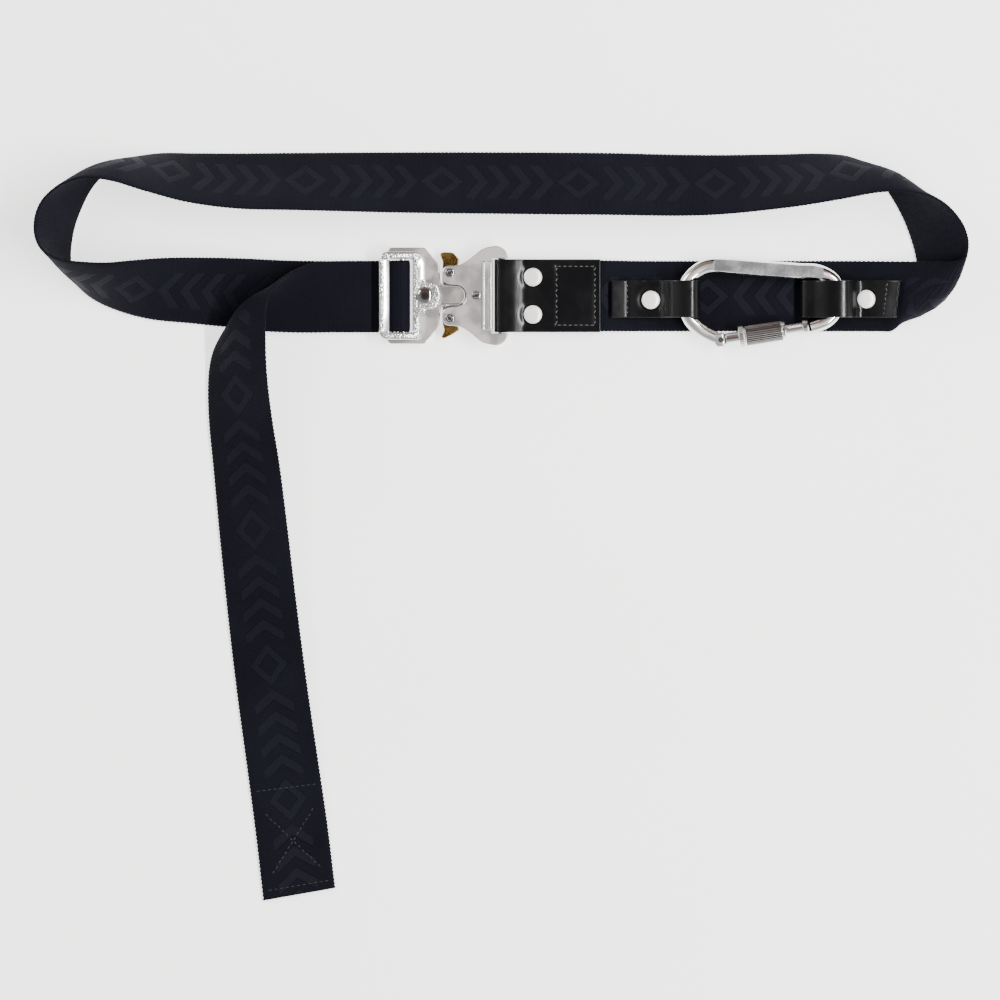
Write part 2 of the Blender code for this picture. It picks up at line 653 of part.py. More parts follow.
def carabiner_sections():
    """Dense rows of x, y, half width and half height round the carabiner."""
    p = np.array([row[1:] for row in CARABINER], float)
    at = np.concatenate([[0.0], np.cumsum(np.linalg.norm(np.diff(p[:, :2], axis=0), axis=1))])
    slope = np.zeros_like(p)
    slope[1:-1] = (p[2:] - p[:-2]) / (at[2:] - at[:-2])[:, None]
    slope[0] = (p[1] - p[0]) / (at[1] - at[0])
    slope[-1] = (p[-1] - p[-2]) / (at[-1] - at[-2])
    dense = []
    for i in range(len(p) - 1):
        span = at[i + 1] - at[i]
        straight = "plaque" in CARABINER[i][0] and "plaque" in CARABINER[i + 1][0]
        for t in np.linspace(0.0, 1.0, 1 if straight else 3, endpoint=False):
            dense.append(
                (2 * t**3 - 3 * t**2 + 1) * p[i]
                + (t**3 - 2 * t**2 + t) * span * slope[i]
                + (3 * t**2 - 2 * t**3) * p[i + 1]
                + (t**3 - t**2) * span * slope[i + 1]
            )
    dense.append(p[-1])
    return np.array(dense)


def pin_drill(gap, look):
    radius = PIN_RADIUS + gap
    return turned("drill", ((0.0, radius), (16.0, radius)), (*HINGE, 0.0), (0, 0, 1), 14, look)


def make_carabiner(look):
    rows = carabiner_sections()
    sides = 12
    ahead = np.gradient(rows[:, :2], axis=0)
    ahead /= np.linalg.norm(ahead, axis=1)[:, None]
    points = []
    for (x, y, half, height), (ax, ay) in zip(rows, ahead):
        for i in range(sides):
            turn = 2 * math.pi * i / sides
            out = half * math.cos(turn)
            points.append((x - ay * out, y + ax * out, CARABINER_Z + height * math.sin(turn)))
    faces = []
    for i in range(len(rows) - 1):
        for j in range(sides):
            a, b = i * sides + j, i * sides + (j + 1) % sides
            faces.append((a, b, b + sides, a + sides))
    faces.append(tuple(range(sides)))
    faces.append(tuple((len(rows) - 1) * sides + j for j in range(sides)))
    body = add_mesh("carabiner_body", points, faces, look)
    low, high = CARABINER_Z - 3.7, CARABINER_Z + 3.7
    rounded = ((low, 3.9), (low + 0.4, 4.3), (high - 0.4, 4.3), (high, 3.9))
    knuckle = turned("knuckle", rounded, (*HINGE, 0.0), (0, 0, 1), 18, look)
    combine(body, knuckle, "UNION")
    slot_levels = ((TANG_Z[0] - 0.3, 5.0), (TANG_Z[1] + 0.3, 5.0))
    slot = turned("slot", slot_levels, (*HINGE, 0.0), (0, 0, 1), 18, look)
    combine(body, slot, "DIFFERENCE")
    combine(body, pin_drill(0.05, look), "DIFFERENCE")
    return body


def gate_direction():
    turn = math.radians(GATE_TILT)
    return (math.cos(turn), math.sin(turn), 0.0)


def make_gate(look):
    rod = turned(
        "carabiner_gate",
        (
            (3.0, 1.3),
            (4.7, 1.4),
            (6.8, GATE_RADIUS),
            (NUT_START, GATE_RADIUS),
            (NUT_START, NUT_RADIUS),
            (GATE_LENGTH - 0.6, NUT_RADIUS),
            (GATE_LENGTH, NUT_RADIUS - 0.6),
        ),
        (*HINGE, CARABINER_Z),
        gate_direction(),
        20,
        look,
    )
    tang = turned("tang", ((TANG_Z[0], 3.9), (TANG_Z[1], 3.9)), (*HINGE, 0.0), (0, 0, 1), 20, look)
    combine(rod, tang, "UNION")
    combine(rod, pin_drill(0.2, look), "DIFFERENCE")
    return rod


def make_sleeve(look):
    start, end = SLEEVE_START, SLEEVE_START + SLEEVE_LENGTH
    profile = (
        (start, SLEEVE_BORE),
        (start, FLANGE_RADIUS - 0.4),
        (start + 0.4, FLANGE_RADIUS),
        (start + FLANGE_LENGTH - 0.4, FLANGE_RADIUS),
        (start + FLANGE_LENGTH, SLEEVE_RADIUS),
        (end - 0.6, SLEEVE_RADIUS),
        (end, SLEEVE_RADIUS - 0.6),
        (end, SLEEVE_BORE),
        (start, SLEEVE_BORE),
    )
    body = turned("gate_sleeve", profile, (*HINGE, CARABINER_Z), gate_direction(), 20, look)
    origin = Vector((*HINGE, CARABINER_Z)) * MM
    body.data.transform(Matrix.Translation(-origin))
    body.location = origin
    return body


def recentre():
    """Moves everything so that the middle of the belt's base is the origin."""
    bpy.context.view_layer.update()
    corners = []
    for obj in bpy.context.scene.objects:
        corners += [obj.matrix_world @ v.co for v in obj.data.vertices]
    low = Vector([min(c[k] for c in corners) for k in range(3)])
    high = Vector([max(c[k] for c in corners) for k in range(3)])
    shift = Vector((-(low.x + high.x) / 2, -(low.y + high.y) / 2, -low.z))
    for obj in bpy.context.scene.objects:
        if obj.location.length > 0:
            obj.location += shift
        else:
            obj.data.transform(Matrix.Translation(shift))
    bpy.context.view_layer.update()


def main():
    clear_scene()
    web = material("webbing_black", (0.012, 0.012, 0.02), 0.75, 0.0)
    leather = material("black_leather", (0.01, 0.01, 0.011), 0.32, 0.0)
    silver = material("cast_silver", (0.78, 0.76, 0.74), 0.35, 1.0)
    nickel = material("satin_nickel", (0.62, 0.60, 0.57), 0.3, 1.0)
    brass = material("brass", (0.65, 0.45, 0.18), 0.3, 1.0)
    chrome = material("chrome", (0.75, 0.75, 0.77), 0.15, 1.0)
    aluminium = material("polished_aluminium", (0.7, 0.7, 0.71), 0.22, 1.0)
    tab_rivets = ((16.8, 9.8), (16.8, -9.9))
    loop, tail = webbing_runs()
    make_webbing("webbing_loop", loop, web)
    make_webbing("webbing_tail", tail, web)
    make_leather_tab(leather, tab_rivets)
    make_left_strip(leather)
    make_right_strip(leather)
    make_ring(silver)
    make_male_plate(nickel)
    make_female_bottom(nickel)
    make_female_top(nickel)
    make_lever("lever_upper", 1, brass)
    make_lever("lever_lower", -1, brass)
    make_screw("screw_upper", LEVER_PIVOT[0], LEVER_PIVOT[1], chrome)
    make_screw("screw_lower", LEVER_PIVOT[0], -LEVER_PIVOT[1], chrome)
    make_screw("screw_middle", MIDDLE_SCREW[0], MIDDLE_SCREW[1], chrome)
    make_rivet("frame_rivet", DOME[0], DOME[1], 3.0, RING_Z[1], chrome, DOME[2], DOME[3])
    make_rivet("tab_rivet_upper", *tab_rivets[0], 0.6, 6.35, chrome)
    make_rivet("tab_rivet_lower", *tab_rivets[1], 0.6, 6.35, chrome)
    make_rivet("loop_rivet_left", 79.0, -2.2, 2.6, 5.72, chrome)
    make_rivet("loop_rivet_right", 192.6, -1.8, 3.9, 7.15, chrome)
    make_carabiner(aluminium)
    make_gate(aluminium)
    make_sleeve(aluminium)
    turned(
        "gate_pin",
        ((CARABINER_Z - 3.9, PIN_RADIUS), (CARABINER_Z + 3.9, PIN_RADIUS)),
        (*HINGE, 0.0),
        (0, 0, 1),
        16,
        chrome,
    )
    recentre()


main()
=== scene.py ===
"""The looks of a webbing belt with a lever buckle and a screw-gate carabiner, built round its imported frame.

Sizes in tables are millimetres in the drawing's own axes: X along the front run, Y across it from its
middle line, Z up from the table. DRAWING moves them to the frame's axes.
"""

import math

import bpy
import numpy as np
from bpy.props import FloatProperty, FloatVectorProperty, IntProperty, PointerProperty
from mathutils import Matrix, Vector


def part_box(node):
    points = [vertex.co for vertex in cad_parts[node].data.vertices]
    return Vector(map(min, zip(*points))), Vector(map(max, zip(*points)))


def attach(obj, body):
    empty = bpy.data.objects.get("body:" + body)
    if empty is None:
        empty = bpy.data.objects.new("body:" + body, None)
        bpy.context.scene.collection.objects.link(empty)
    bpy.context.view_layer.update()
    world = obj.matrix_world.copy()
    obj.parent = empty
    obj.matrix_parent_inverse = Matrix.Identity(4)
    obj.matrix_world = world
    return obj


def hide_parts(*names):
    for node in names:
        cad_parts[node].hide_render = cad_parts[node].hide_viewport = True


bl_info = {
    "name": "Webbing Belt",
    "version": (1, 0, 0),
    "blender": (4, 5, 0),
    "location": "3D View > Sidebar > Belt",
    "description": "Webbing, leather, buckle and carabiner for a belt lying flat",
    "category": "Add Mesh",
}

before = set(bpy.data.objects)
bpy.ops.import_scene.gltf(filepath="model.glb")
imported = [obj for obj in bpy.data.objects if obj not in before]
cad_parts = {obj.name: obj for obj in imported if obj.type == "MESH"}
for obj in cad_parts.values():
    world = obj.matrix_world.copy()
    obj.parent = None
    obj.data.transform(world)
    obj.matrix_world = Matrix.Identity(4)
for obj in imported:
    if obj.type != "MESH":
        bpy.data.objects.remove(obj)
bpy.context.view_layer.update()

MM = 0.001

# The picture: millimetres in a pixel, its width, its middle and the pixel where the drawing's axes cross.
PIXEL = 0.5278
PICTURE_WIDTH = 1000
PICTURE_MIDDLE = (500.0, 500.0)
DRAWING_START = (501.0, 295.85)

# Places of the fasteners and seams, and the levels between which the buckle's layers lie.
HINGE = (115.9, -23.3)
PIN_FOOT = 4.2
CARABINER_Z = 8.1
GATE_TILT = math.radians(8.8)
BUCKLE_PIVOT = (-27.1, 12.0)
MIDDLE_SCREW = (-13.1, 0.0)
FRAME_RIVET = (-40.1, 0.0)
TAB_RIVETS = ((16.8, 9.8), (16.8, -9.9))
LEFT_LOOP_RIVET = (79.0, -2.2)
RIGHT_LOOP_RIVET = (192.6, -1.8)
STRIP_LOW, STRIP_HIGH = -11.5, 8.0
TAB_HALF = 19.25
TAB_SEAM = (29.3, 49.5, 15.5)
LEFT_SEAM_X = 66.4
RIGHT_SEAM_X = 202.7
SEAM_PITCH = 2.7
THREAD_RADIUS = 0.3
LEVER_LEVELS = (3.0, 6.0)
TONGUE_PLATE_LEVELS = (2.8, 6.2)
TONGUE_LEVELS = (4.2, 8.3)
FIXED_PLATE_LEVELS = (6.5, 9.0)
CAST_FRAME_LEVELS = (6.5, 9.8)
SLEEVE_START, SLEEVE_END = 9.6, 34.6

pin_low, pin_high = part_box("gate_pin")
DRAWING = Vector((
    (pin_low.x + pin_high.x) / 2 - HINGE[0] * MM,
    (pin_low.y + pin_high.y) / 2 - HINGE[1] * MM,
    pin_low.z - PIN_FOOT * MM,
))

# The webbing, one row for each place where it changes: the low edge's x, y, z, the other edge's x, y, z,
# and how far its middle bows to the patterned side.
WEBBING_LOOP = (
    ("under the tab", 24.0, -18.8, 3.2, 24.0, 18.8, 3.2, 0.0),
    ("tab middle", 48.0, -18.8, 3.2, 48.0, 18.8, 3.2, 0.0),
    ("tab end", 54.5, -18.8, 3.2, 54.5, 18.7, 3.2, 0.0),
    ("front a", 68.0, -18.8, 1.1, 68.0, 18.5, 1.1, 0.0),
    ("front b", 80.0, -18.8, 1.0, 80.0, 18.4, 1.0, 0.0),
    ("front c", 152.0, -18.8, 1.0, 152.0, 18.4, 1.0, 0.0),
    ("front d", 182.0, -18.8, 1.0, 184.0, 18.4, 1.3, 0.0),
    ("right fold 1", 200.0, -18.8, 1.2, 210.6, 18.1, 6.0, 1.0),
    ("right fold 2", 205.8, -18.6, 1.9, 228.5, 17.9, 14.0, 4.0),
    ("right fold 3", 210.1, -14.9, 2.0, 239.1, 17.9, 20.5, 7.5),
    ("right fold 4", 213.8, -10.1, 1.6, 244.1, 20.5, 24.0, 8.0),
    ("right end 1", 216.7, -3.8, 1.2, 245.7, 25.5, 26.5, 6.5),
    ("right end 2", 218.5, 3.6, 1.0, 245.4, 30.8, 28.5, 4.5),
    ("right end 3", 219.6, 12.1, 0.9, 243.6, 36.1, 30.5, 2.5),
    ("right end 4", 218.8, 21.0, 0.9, 240.7, 40.8, 32.0, 1.5),
    ("right end 5", 216.4, 30.0, 0.9, 237.0, 45.0, 33.5, 1.5),
    ("right end 6", 213.0, 39.2, 0.9, 232.5, 48.7, 34.5, 2.0),
    ("right end 7", 208.7, 47.7, 0.9, 227.2, 51.4, 35.5, 3.5),
    ("right fold 5", 203.2, 56.4, 0.9, 220.1, 53.2, 36.0, 5.5),
    ("right fold 6", 195.8, 65.1, 0.9, 211.1, 54.3, 35.5, 6.0),
    ("right fold 7", 184.2, 72.8, 0.9, 197.4, 53.8, 33.0, 3.5),
    ("back a", 168.4, 74.9, 0.9, 176.8, 50.1, 29.0, 1.0),
    ("back b", 144.6, 74.6, 0.9, 148.3, 45.8, 24.5, 0.0),
    ("back c", 105.0, 74.3, 0.9, 106.1, 42.1, 20.0, 0.0),
    ("back d", 52.3, 75.4, 0.9, 52.3, 42.4, 18.8, 0.0),
    ("back e", -0.5, 75.7, 0.9, -0.5, 42.9, 19.2, 0.0),
    ("back f", -53.3, 75.7, 0.9, -53.3, 43.5, 20.2, 0.0),
    ("back g", -106.1, 75.4, 0.9, -106.6, 44.8, 22.6, 0.0),
    ("back h", -137.8, 75.1, 0.9, -138.8, 45.6, 24.5, 0.0),
    ("left fold 1", -161.5, 75.1, 0.9, -165.2, 49.0, 28.5, 1.0),
    ("left fold 2", -180.0, 74.9, 0.9, -187.4, 54.8, 33.0, 2.5),
    ("left fold 3", -194.2, 72.2, 0.9, -205.3, 60.1, 36.2, 4.0),
    ("left fold 4", -203.7, 68.0, 0.9, -220.1, 61.4, 36.0, 4.0),
    ("left end 1", -211.1, 62.5, 0.9, -231.7, 57.7, 33.5, 2.5),
    ("left end 2", -216.7, 55.6, 0.9, -240.7, 50.6, 31.2, 1.0),
    ("left end 3", -221.1, 46.9, 0.9, -244.9, 42.1, 30.8, 0.5),
    ("left end 4", -224.8, 36.9, 0.9, -245.4, 33.2, 32.5, 1.0),
    ("left end 5", -226.7, 26.8, 0.9, -242.8, 26.0, 35.0, 2.0),
    ("left fold 5", -227.0, 18.4, 0.9, -237.5, 21.3, 36.8, 3.0),
    ("left fold 6", -225.4, 10.5, 0.9, -229.1, 18.4, 37.0, 3.5),
    ("left fold 7", -220.6, 3.1, 0.9, -218.5, 17.3, 35.5, 3.0),
    ("left fold 8", -212.7, -3.0, 0.9, -206.9, 17.1, 31.8, 2.0),
    ("front e", -200.0, -8.5, 0.9, -193.7, 18.4, 26.5, 1.0),
    ("front f", -184.2, -12.5, 0.9, -177.3, 19.7, 20.5, 0.5),
    ("front g", -163.1, -14.6, 0.9, -157.8, 20.0, 14.5, 0.0),
    ("front h", -139.3, -17.0, 0.9, -136.2, 19.7, 8.5, 0.0),
    ("front i", -114.0, -18.8, 1.0, -112.9, 18.7, 3.4, 0.0),
    ("front j", -90.3, -19.3, 1.0, -90.3, 18.4, 1.1, 0.0),
    ("under the ring", -68.1, -19.3, 1.0, -68.1, 18.4, 1.0, 0.0),
    ("below the bar", -54.0, -19.1, 1.3, -54.0, 18.6, 1.3, 0.0),
)
WEBBING_TAIL = (
    ("over the bar", -54.4, -19.1, 6.9, -54.4, 18.6, 6.9, 0.0),
    ("under the ring", -61.0, -19.2, 4.0, -61.0, 18.5, 4.0, 0.0),
    ("past the ring", -68.0, -19.3, 3.2, -68.0, 18.4, 3.2, 0.0),
    ("run", -82.3, -19.3, 3.1, -82.3, 18.4, 3.1, 0.0),
    ("twist 1", -102.9, -19.6, 3.4, -99.2, 17.3, 6.5, 0.5),
    ("twist 2", -116.6, -19.3, 4.2, -107.1, 14.2, 12.0, 2.0),
    ("twist 3", -127.7, -18.6, 4.8, -114.0, 9.7, 18.5, 4.0),
    ("twist 4", -135.6, -17.2, 5.2, -119.0, 4.4, 24.5, 5.5),
    ("twist 5", -141.2, -17.0, 5.2, -122.2, -1.1, 28.5, 6.0),
    ("twist 6", -145.1, -18.8, 4.8, -123.5, -7.5, 30.2, 5.5),
    ("twist 7", -148.6, -23.3, 4.0, -123.8, -14.3, 29.6, 4.5),
    ("drop 1", -152.0, -30.2, 2.6, -123.8, -23.8, 27.2, 3.0),
    ("drop 2", -154.1, -39.7, 1.3, -123.5, -36.5, 23.6, 1.5),
    ("drop 3", -154.6, -52.3, 0.9, -122.3, -50.7, 20.6, 0.5),
    ("tail a", -153.9, -69.2, 0.9, -120.1, -67.6, 18.0, 0.0),
    ("tail b", -151.7, -91.9, 0.9, -116.6, -89.3, 15.0, 0.0),
    ("tail c", -148.8, -123.6, 0.9, -112.7, -120.4, 12.0, 0.0),
    ("tail d", -144.6, -164.8, 0.9, -107.9, -161.1, 8.6, 0.0),
    ("tail e", -139.6, -208.0, 0.9, -102.4, -203.8, 5.2, 0.0),
    ("tail f", -134.1, -248.7, 0.9, -96.6, -243.9, 2.4, 0.0),
    ("tail g", -129.6, -283.0, 0.9, -91.6, -278.2, 1.0, 0.0),
    ("tail end", -125.4, -319.5, 0.9, -87.4, -312.8, 0.9, 0.0),
)

# The turn round the buckle's bar: its middle in X and Z, its radius and the angle at which it ends.
WEB_BAR = (-52.0, 4.5, 3.2, 114.0)

# The webbing's own section, in metres: its sizes, and its thickness at shares of its width.
WEB_WIDTH = 0.0377
WEB_THICK = 0.0018
EDGE_SHARES = (0.0, 0.012, 0.035, 0.08, 0.2, 0.35, 0.5, 0.65, 0.8, 0.92, 0.965, 0.988, 1.0)
EDGE_THICKNESS = (0.3, 0.75, 0.96, 1.0, 1.0, 1.0, 1.0, 1.0, 1.0, 1.0, 0.96, 0.75, 0.3)
SCALLOP_PITCH = 0.0021
SCALLOP_DEPTH = 0.00022
PLY_FROM_END = 0.043
PLY_RISE = 0.00035

# The carabiner's bar from its hinge round to its nose: x, y and radius.
CARABINER_BAR = (
    ("hinge", 113.6, -22.6, 3.75),
    ("left low", 106.0, -18.6, 3.75),
    ("left side", 98.9, -11.6, 3.75),
    ("left", 95.9, -2.8, 3.75),
    ("left high", 97.3, 6.2, 3.75),
    ("left top", 103.0, 12.6, 3.8),
    ("left shoulder", 107.8, 15.2, 3.95),
    ("plaque start", 113.2, 16.0, 4.15),
    ("plaque edge", 119.0, 15.7, 4.3),
    ("plaque a", 128.0, 15.0, 4.35),
    ("plaque b", 142.0, 13.9, 4.35),
    ("plaque c", 156.0, 12.9, 4.3),
    ("plaque end", 168.4, 11.9, 4.15),
    ("right top", 175.6, 7.9, 3.85),
    ("right", 178.9, 0.6, 3.75),
    ("right side", 177.2, -7.2, 3.75),
    ("right low", 171.6, -13.4, 3.6),
    ("nose", 165.9, -15.9, 3.4),
    ("tip", 163.4, -16.6, 3.3),
)

# The flat milled on the bar: its middle, its turn in degrees and its level over the bar's middle line.
PLAQUE = (140.9, 13.95, -4.25, 2.95)


def colour_property(name, description, default):
    return FloatVectorProperty(
        name=name, description=description, default=default, subtype="COLOR", min=0.0, max=1.0
    )


class BeltSizes(bpy.types.PropertyGroup):
    rib_pitch: FloatProperty(
        name="Rib pitch",
        description="Distance from one rib of the webbing to the next",
        default=0.00105,
        unit="LENGTH",
        precision=5,
    )
    rib_height: FloatProperty(
        name="Rib height",
        description="How far a rib stands over the groove beside it",
        default=0.00016,
        unit="LENGTH",
        precision=5,
    )
    leather_thickness: FloatProperty(
        name="Leather thickness",
        description="Thickness of the folded leather tab",
        default=0.0019,
        unit="LENGTH",
        precision=5,
    )
    strip_thickness: FloatProperty(
        name="Strip thickness",
        description="Thickness of the leather strips that hold the carabiner",
        default=0.00155,
        unit="LENGTH",
        precision=5,
    )
    stitch_length: FloatProperty(
        name="Stitch length",
        description="Length of one stitch of thread",
        default=0.0021,
        unit="LENGTH",
        precision=5,
    )
    flutes: IntProperty(
        name="Sleeve flutes",
        description="Number of grooves round the carabiner's sleeve",
        default=30,
        min=8,
        max=60,
    )


class BeltColours(bpy.types.PropertyGroup):
    webbing: colour_property("Webbing", "Colour of the webbing's yarn", (0.0042, 0.0044, 0.0084))
    leather: colour_property("Leather", "Colour of the leather", (0.0035, 0.0035, 0.0039))
    thread: colour_property("Thread", "Colour of the leather's thread", (0.075, 0.075, 0.082))
    cast: colour_property("Cast frame", "Colour of the cast frame", (0.86, 0.85, 0.83))
    nickel: colour_property("Nickel", "Colour of the buckle's plates", (0.5, 0.47, 0.455))
    brass: colour_property("Brass", "Colour of the two levers", (0.33, 0.19, 0.055))
    aluminium: colour_property("Aluminium", "Colour of the carabiner", (0.8, 0.79, 0.78))
    cap: colour_property("Rivet caps", "Colour of the rivet caps", (0.97, 0.94, 0.89))
    floor: colour_property("Floor", "Colour of the floor", (0.9, 0.893, 0.882))


def sizes():
    return bpy.context.scene.belt_sizes


def colours():
    return bpy.context.scene.belt_colours


# Selection and mesh steps


def activate(obj):
    """Makes obj the only selected object, in object mode."""
    if bpy.context.object and bpy.context.object.mode != "OBJECT":
        bpy.ops.object.mode_set(mode="OBJECT")
    bpy.ops.object.select_all(action="DESELECT")
    obj.select_set(True)
    bpy.context.view_layer.objects.active = obj


def link(name, data):
    obj = bpy.data.objects.new(name, data)
    bpy.context.scene.collection.objects.link(obj)
    return obj


def clean(obj, distance=1e-6):
    """Merges doubled points and turns the faces outwards."""
    activate(obj)
    bpy.ops.object.mode_set(mode="EDIT")
    bpy.ops.mesh.select_all(action="SELECT")
    bpy.ops.mesh.remove_doubles(threshold=distance)
    bpy.ops.mesh.normals_make_consistent(inside=False)
    bpy.ops.object.mode_set(mode="OBJECT")


def smooth(obj, angle=38.0, weighted=True):
    activate(obj)
    bpy.ops.object.shade_smooth_by_angle(angle=math.radians(angle))
    if weighted:
        modifier = obj.modifiers.new("even_shading", "WEIGHTED_NORMAL")
        modifier.keep_sharp = True
        bpy.ops.object.modifier_apply(modifier=modifier.name)


def combine(target, tool, operation):
    """Joins, cuts or keeps the overlap of target and tool, and removes tool."""
    activate(target)
    modifier = target.modifiers.new("combine", "BOOLEAN")
    modifier.operation = operation
    modifier.solver = "EXACT"
    modifier.object = tool
    bpy.ops.object.modifier_apply(modifier=modifier.name)
    bpy.data.objects.remove(tool, do_unlink=True)
    if not target.data.polygons:
        raise RuntimeError(f"{target.name} lost its mesh in a {operation}")


def finish_piece(obj, look, body, slot, *nodes):
    """Gives a piece its material, its body and the nodes that it stands for."""
    obj.data.materials.clear()
    obj.data.materials.append(look)
    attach(obj, body)
    if nodes:
        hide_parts(*nodes)


def dress_node(name, look):
    """Gives a piece of the frame that stays as it is another material."""
    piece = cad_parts[name]
    piece.data.materials.clear()
    piece.data.materials.append(look)


def edge_look(obj, look):
    """Gives every face that isn't level another look."""
    upright = 0.97
    obj.data.materials.append(look)
    for face in obj.data.polygons:
        face.material_index = 0 if abs(face.normal.z) > upright else 1


def shave(obj, level, x_range, drop, y_range):
    """Cuts a slope across x_range that starts at level and ends drop lower, along y_range."""
    start, end = x_range
    run = end - start
    length = 1.6 * math.hypot(run, drop)
    bpy.ops.object.select_all(action="DESELECT")
    bpy.ops.mesh.primitive_cube_add(size=1.0, location=(0.0, 0.0, 0.0))
    wedge = bpy.context.object
    tilt = math.atan2(drop, run)
    away = Vector((math.sin(tilt), 0.0, math.cos(tilt)))
    middle = Vector(((start + end) / 2, sum(y_range) / 2, level - drop / 2)) + away * 2.0
    wedge.scale = Vector((length, abs(y_range[1] - y_range[0]), 4.0)) * MM
    wedge.rotation_euler.y = tilt
    wedge.location = middle * MM + DRAWING
    bpy.ops.object.transform_apply(location=True, rotation=True, scale=True)
    combine(obj, wedge, "DIFFERENCE")


# Outlines, in millimetres


def arc(x, y, radius, start, end, steps):
    angles = np.radians(np.linspace(start, end, steps + 1))
    return [(x + radius * math.cos(a), y + radius * math.sin(a)) for a in angles]


def rounded(corners, steps):
    """An outline from rows of x, y and radius, with each corner rounded by its radius."""
    outline = []
    for i, (x, y, radius) in enumerate(corners):
        here = Vector((x, y))
        before = Vector(corners[i - 1][:2]) - here
        after = Vector(corners[(i + 1) % len(corners)][:2]) - here
        if radius <= 0:
            outline.append((x, y))
            continue
        half = before.angle(after) / 2
        reach = min(radius / math.tan(half), 0.48 * before.length, 0.48 * after.length)
        radius = reach * math.tan(half)
        first = here + before.normalized() * reach
        last = here + after.normalized() * reach
        centre = here + (before.normalized() + after.normalized()).normalized() * radius / math.sin(half)
        start = math.atan2(first.y - centre.y, first.x - centre.x)
        end = math.atan2(last.y - centre.y, last.x - centre.x)
        turn = (end - start + math.pi) % (2 * math.pi) - math.pi
        for k in range(steps + 1):
            angle = start + turn * k / steps
            outline.append((centre.x + radius * math.cos(angle), centre.y + radius * math.sin(angle)))
    return outline


def oblong(left, right, half, left_radius, right_radius, steps):
    """A rounded rectangle between two X places that reaches half to each side of the middle line."""
    corners = (
        (left, -half, left_radius),
        (right, -half, right_radius),
        (right, half, right_radius),
        (left, half, left_radius),
    )
    return rounded(corners, steps)


def mirrored(outline):
    return [(x, -y) for x, y in reversed(outline)]


def plate(name, outlines, low, high, edge, rounds):
    """A plate between two levels from an outline and its holes, with its rim rounded by edge."""
    curve = bpy.data.curves.new(name, "CURVE")
    curve.dimensions = "2D"
    curve.fill_mode = "BOTH"
    curve.extrude = ((high - low) / 2 - edge) * MM
    curve.bevel_depth = edge * MM
    curve.bevel_resolution = rounds
    curve.offset = -edge * MM
    for outline in outlines:
        line = curve.splines.new("POLY")
        line.points.add(len(outline) - 1)
        for point, (x, y) in zip(line.points, outline):
            point.co = (x * MM, y * MM, 0.0, 1.0)
        line.use_cyclic_u = True
    obj = link(name, curve)
    activate(obj)
    bpy.ops.object.convert(target="MESH")
    obj = bpy.context.object
    obj.name = name
    middle = Vector((0.0, 0.0, (low + high) / 2 * MM)) + DRAWING
    obj.data.transform(Matrix.Translation(middle))
    clean(obj)
    return obj


def turned(name, profile, origin, axis=(0.0, 0.0, 1.0), steps=48, closed=False):
    """A round body from rows of distance along the axis and radius, turned once about it."""
    count = len(profile)
    edges = [(i, i + 1) for i in range(count - 1)]
    if closed:
        edges.append((count - 1, 0))
    mesh = bpy.data.meshes.new(name)
    mesh.from_pydata([(radius * MM, 0.0, along * MM) for along, radius in profile], edges, [])
    obj = link(name, mesh)
    activate(obj)
    modifier = obj.modifiers.new("turn", "SCREW")
    modifier.axis = "Z"
    modifier.angle = 2 * math.pi
    modifier.steps = steps
    modifier.render_steps = steps
    modifier.use_merge_vertices = True
    modifier.merge_threshold = 1e-6
    bpy.ops.object.modifier_apply(modifier=modifier.name)
    clean(obj)
    turn = Vector(axis).to_track_quat("Z", "Y").to_matrix().to_4x4()
    obj.data.transform(Matrix.Translation(Vector(origin) * MM + DRAWING) @ turn)
    return obj


def rim(low, high, radius, edge):
    """A turned profile of a disc with rounded rims."""
    steps = 4
    rows = [(low, 0.0)]
    for k in range(steps + 1):
        a = math.pi / 2 * k / steps
        rows.append((low + edge - edge * math.cos(a), radius - edge + edge * math.sin(a)))
    for k in range(steps + 1):
        a = math.pi / 2 * k / steps
        rows.append((high - edge + edge * math.sin(a), radius - edge + edge * math.cos(a)))
    rows.append((high, 0.0))
    return rows


# Shader nodes


def node(tree, kind, sockets=None, **settings):
    """Adds a node, with its settings and with values or links for its sockets."""
    made = tree.nodes.new(kind)
    for key, value in settings.items():
        setattr(made, key, value)
    for key, value in (sockets or {}).items():
        if isinstance(value, bpy.types.NodeSocket):
            tree.links.new(value, made.inputs[key])
        else:
            made.inputs[key].default_value = value
    return made


def maths(tree, operation, *values):
    return node(tree, "ShaderNodeMath", dict(enumerate(values)), operation=operation).outputs[0]


def times(tree, first, second):
    return maths(tree, "MULTIPLY", first, second)


def plus(tree, first, second):
    return maths(tree, "ADD", first, second)


def minus(tree, first, second):
    return maths(tree, "SUBTRACT", first, second)


def gap(tree, first, second):
    """The distance between two values, whichever is larger."""
    return maths(tree, "ABSOLUTE", minus(tree, first, second))


def shade(colour, factor):
    """A colour made darker or lighter by a factor, with its fourth value for a socket."""
    return (*(c * factor for c in colour[:3]), 1.0)


def between(tree, value, low, high, to_low=0.0, to_high=1.0):
    """Maps value from one range to another, smoothly and clamped."""
    made = node(
        tree,
        "ShaderNodeMapRange",
        {"Value": value, "From Min": low, "From Max": high, "To Min": to_low, "To Max": to_high},
        interpolation_type="SMOOTHSTEP",
    )
    return made.outputs["Result"]


def mixed(tree, factor, first, second):
    """Mixes two colours; the node's colour sockets are its seventh and eighth."""
    return node(tree, "ShaderNodeMix", {0: factor, 6: first, 7: second}, data_type="RGBA").outputs[2]


def noise_of(tree, place, scale, detail, distortion=0.0):
    sockets = {"Vector": place, "Scale": scale, "Detail": detail, "Distortion": distortion}
    return node(tree, "ShaderNodeTexNoise", sockets).outputs["Fac"]


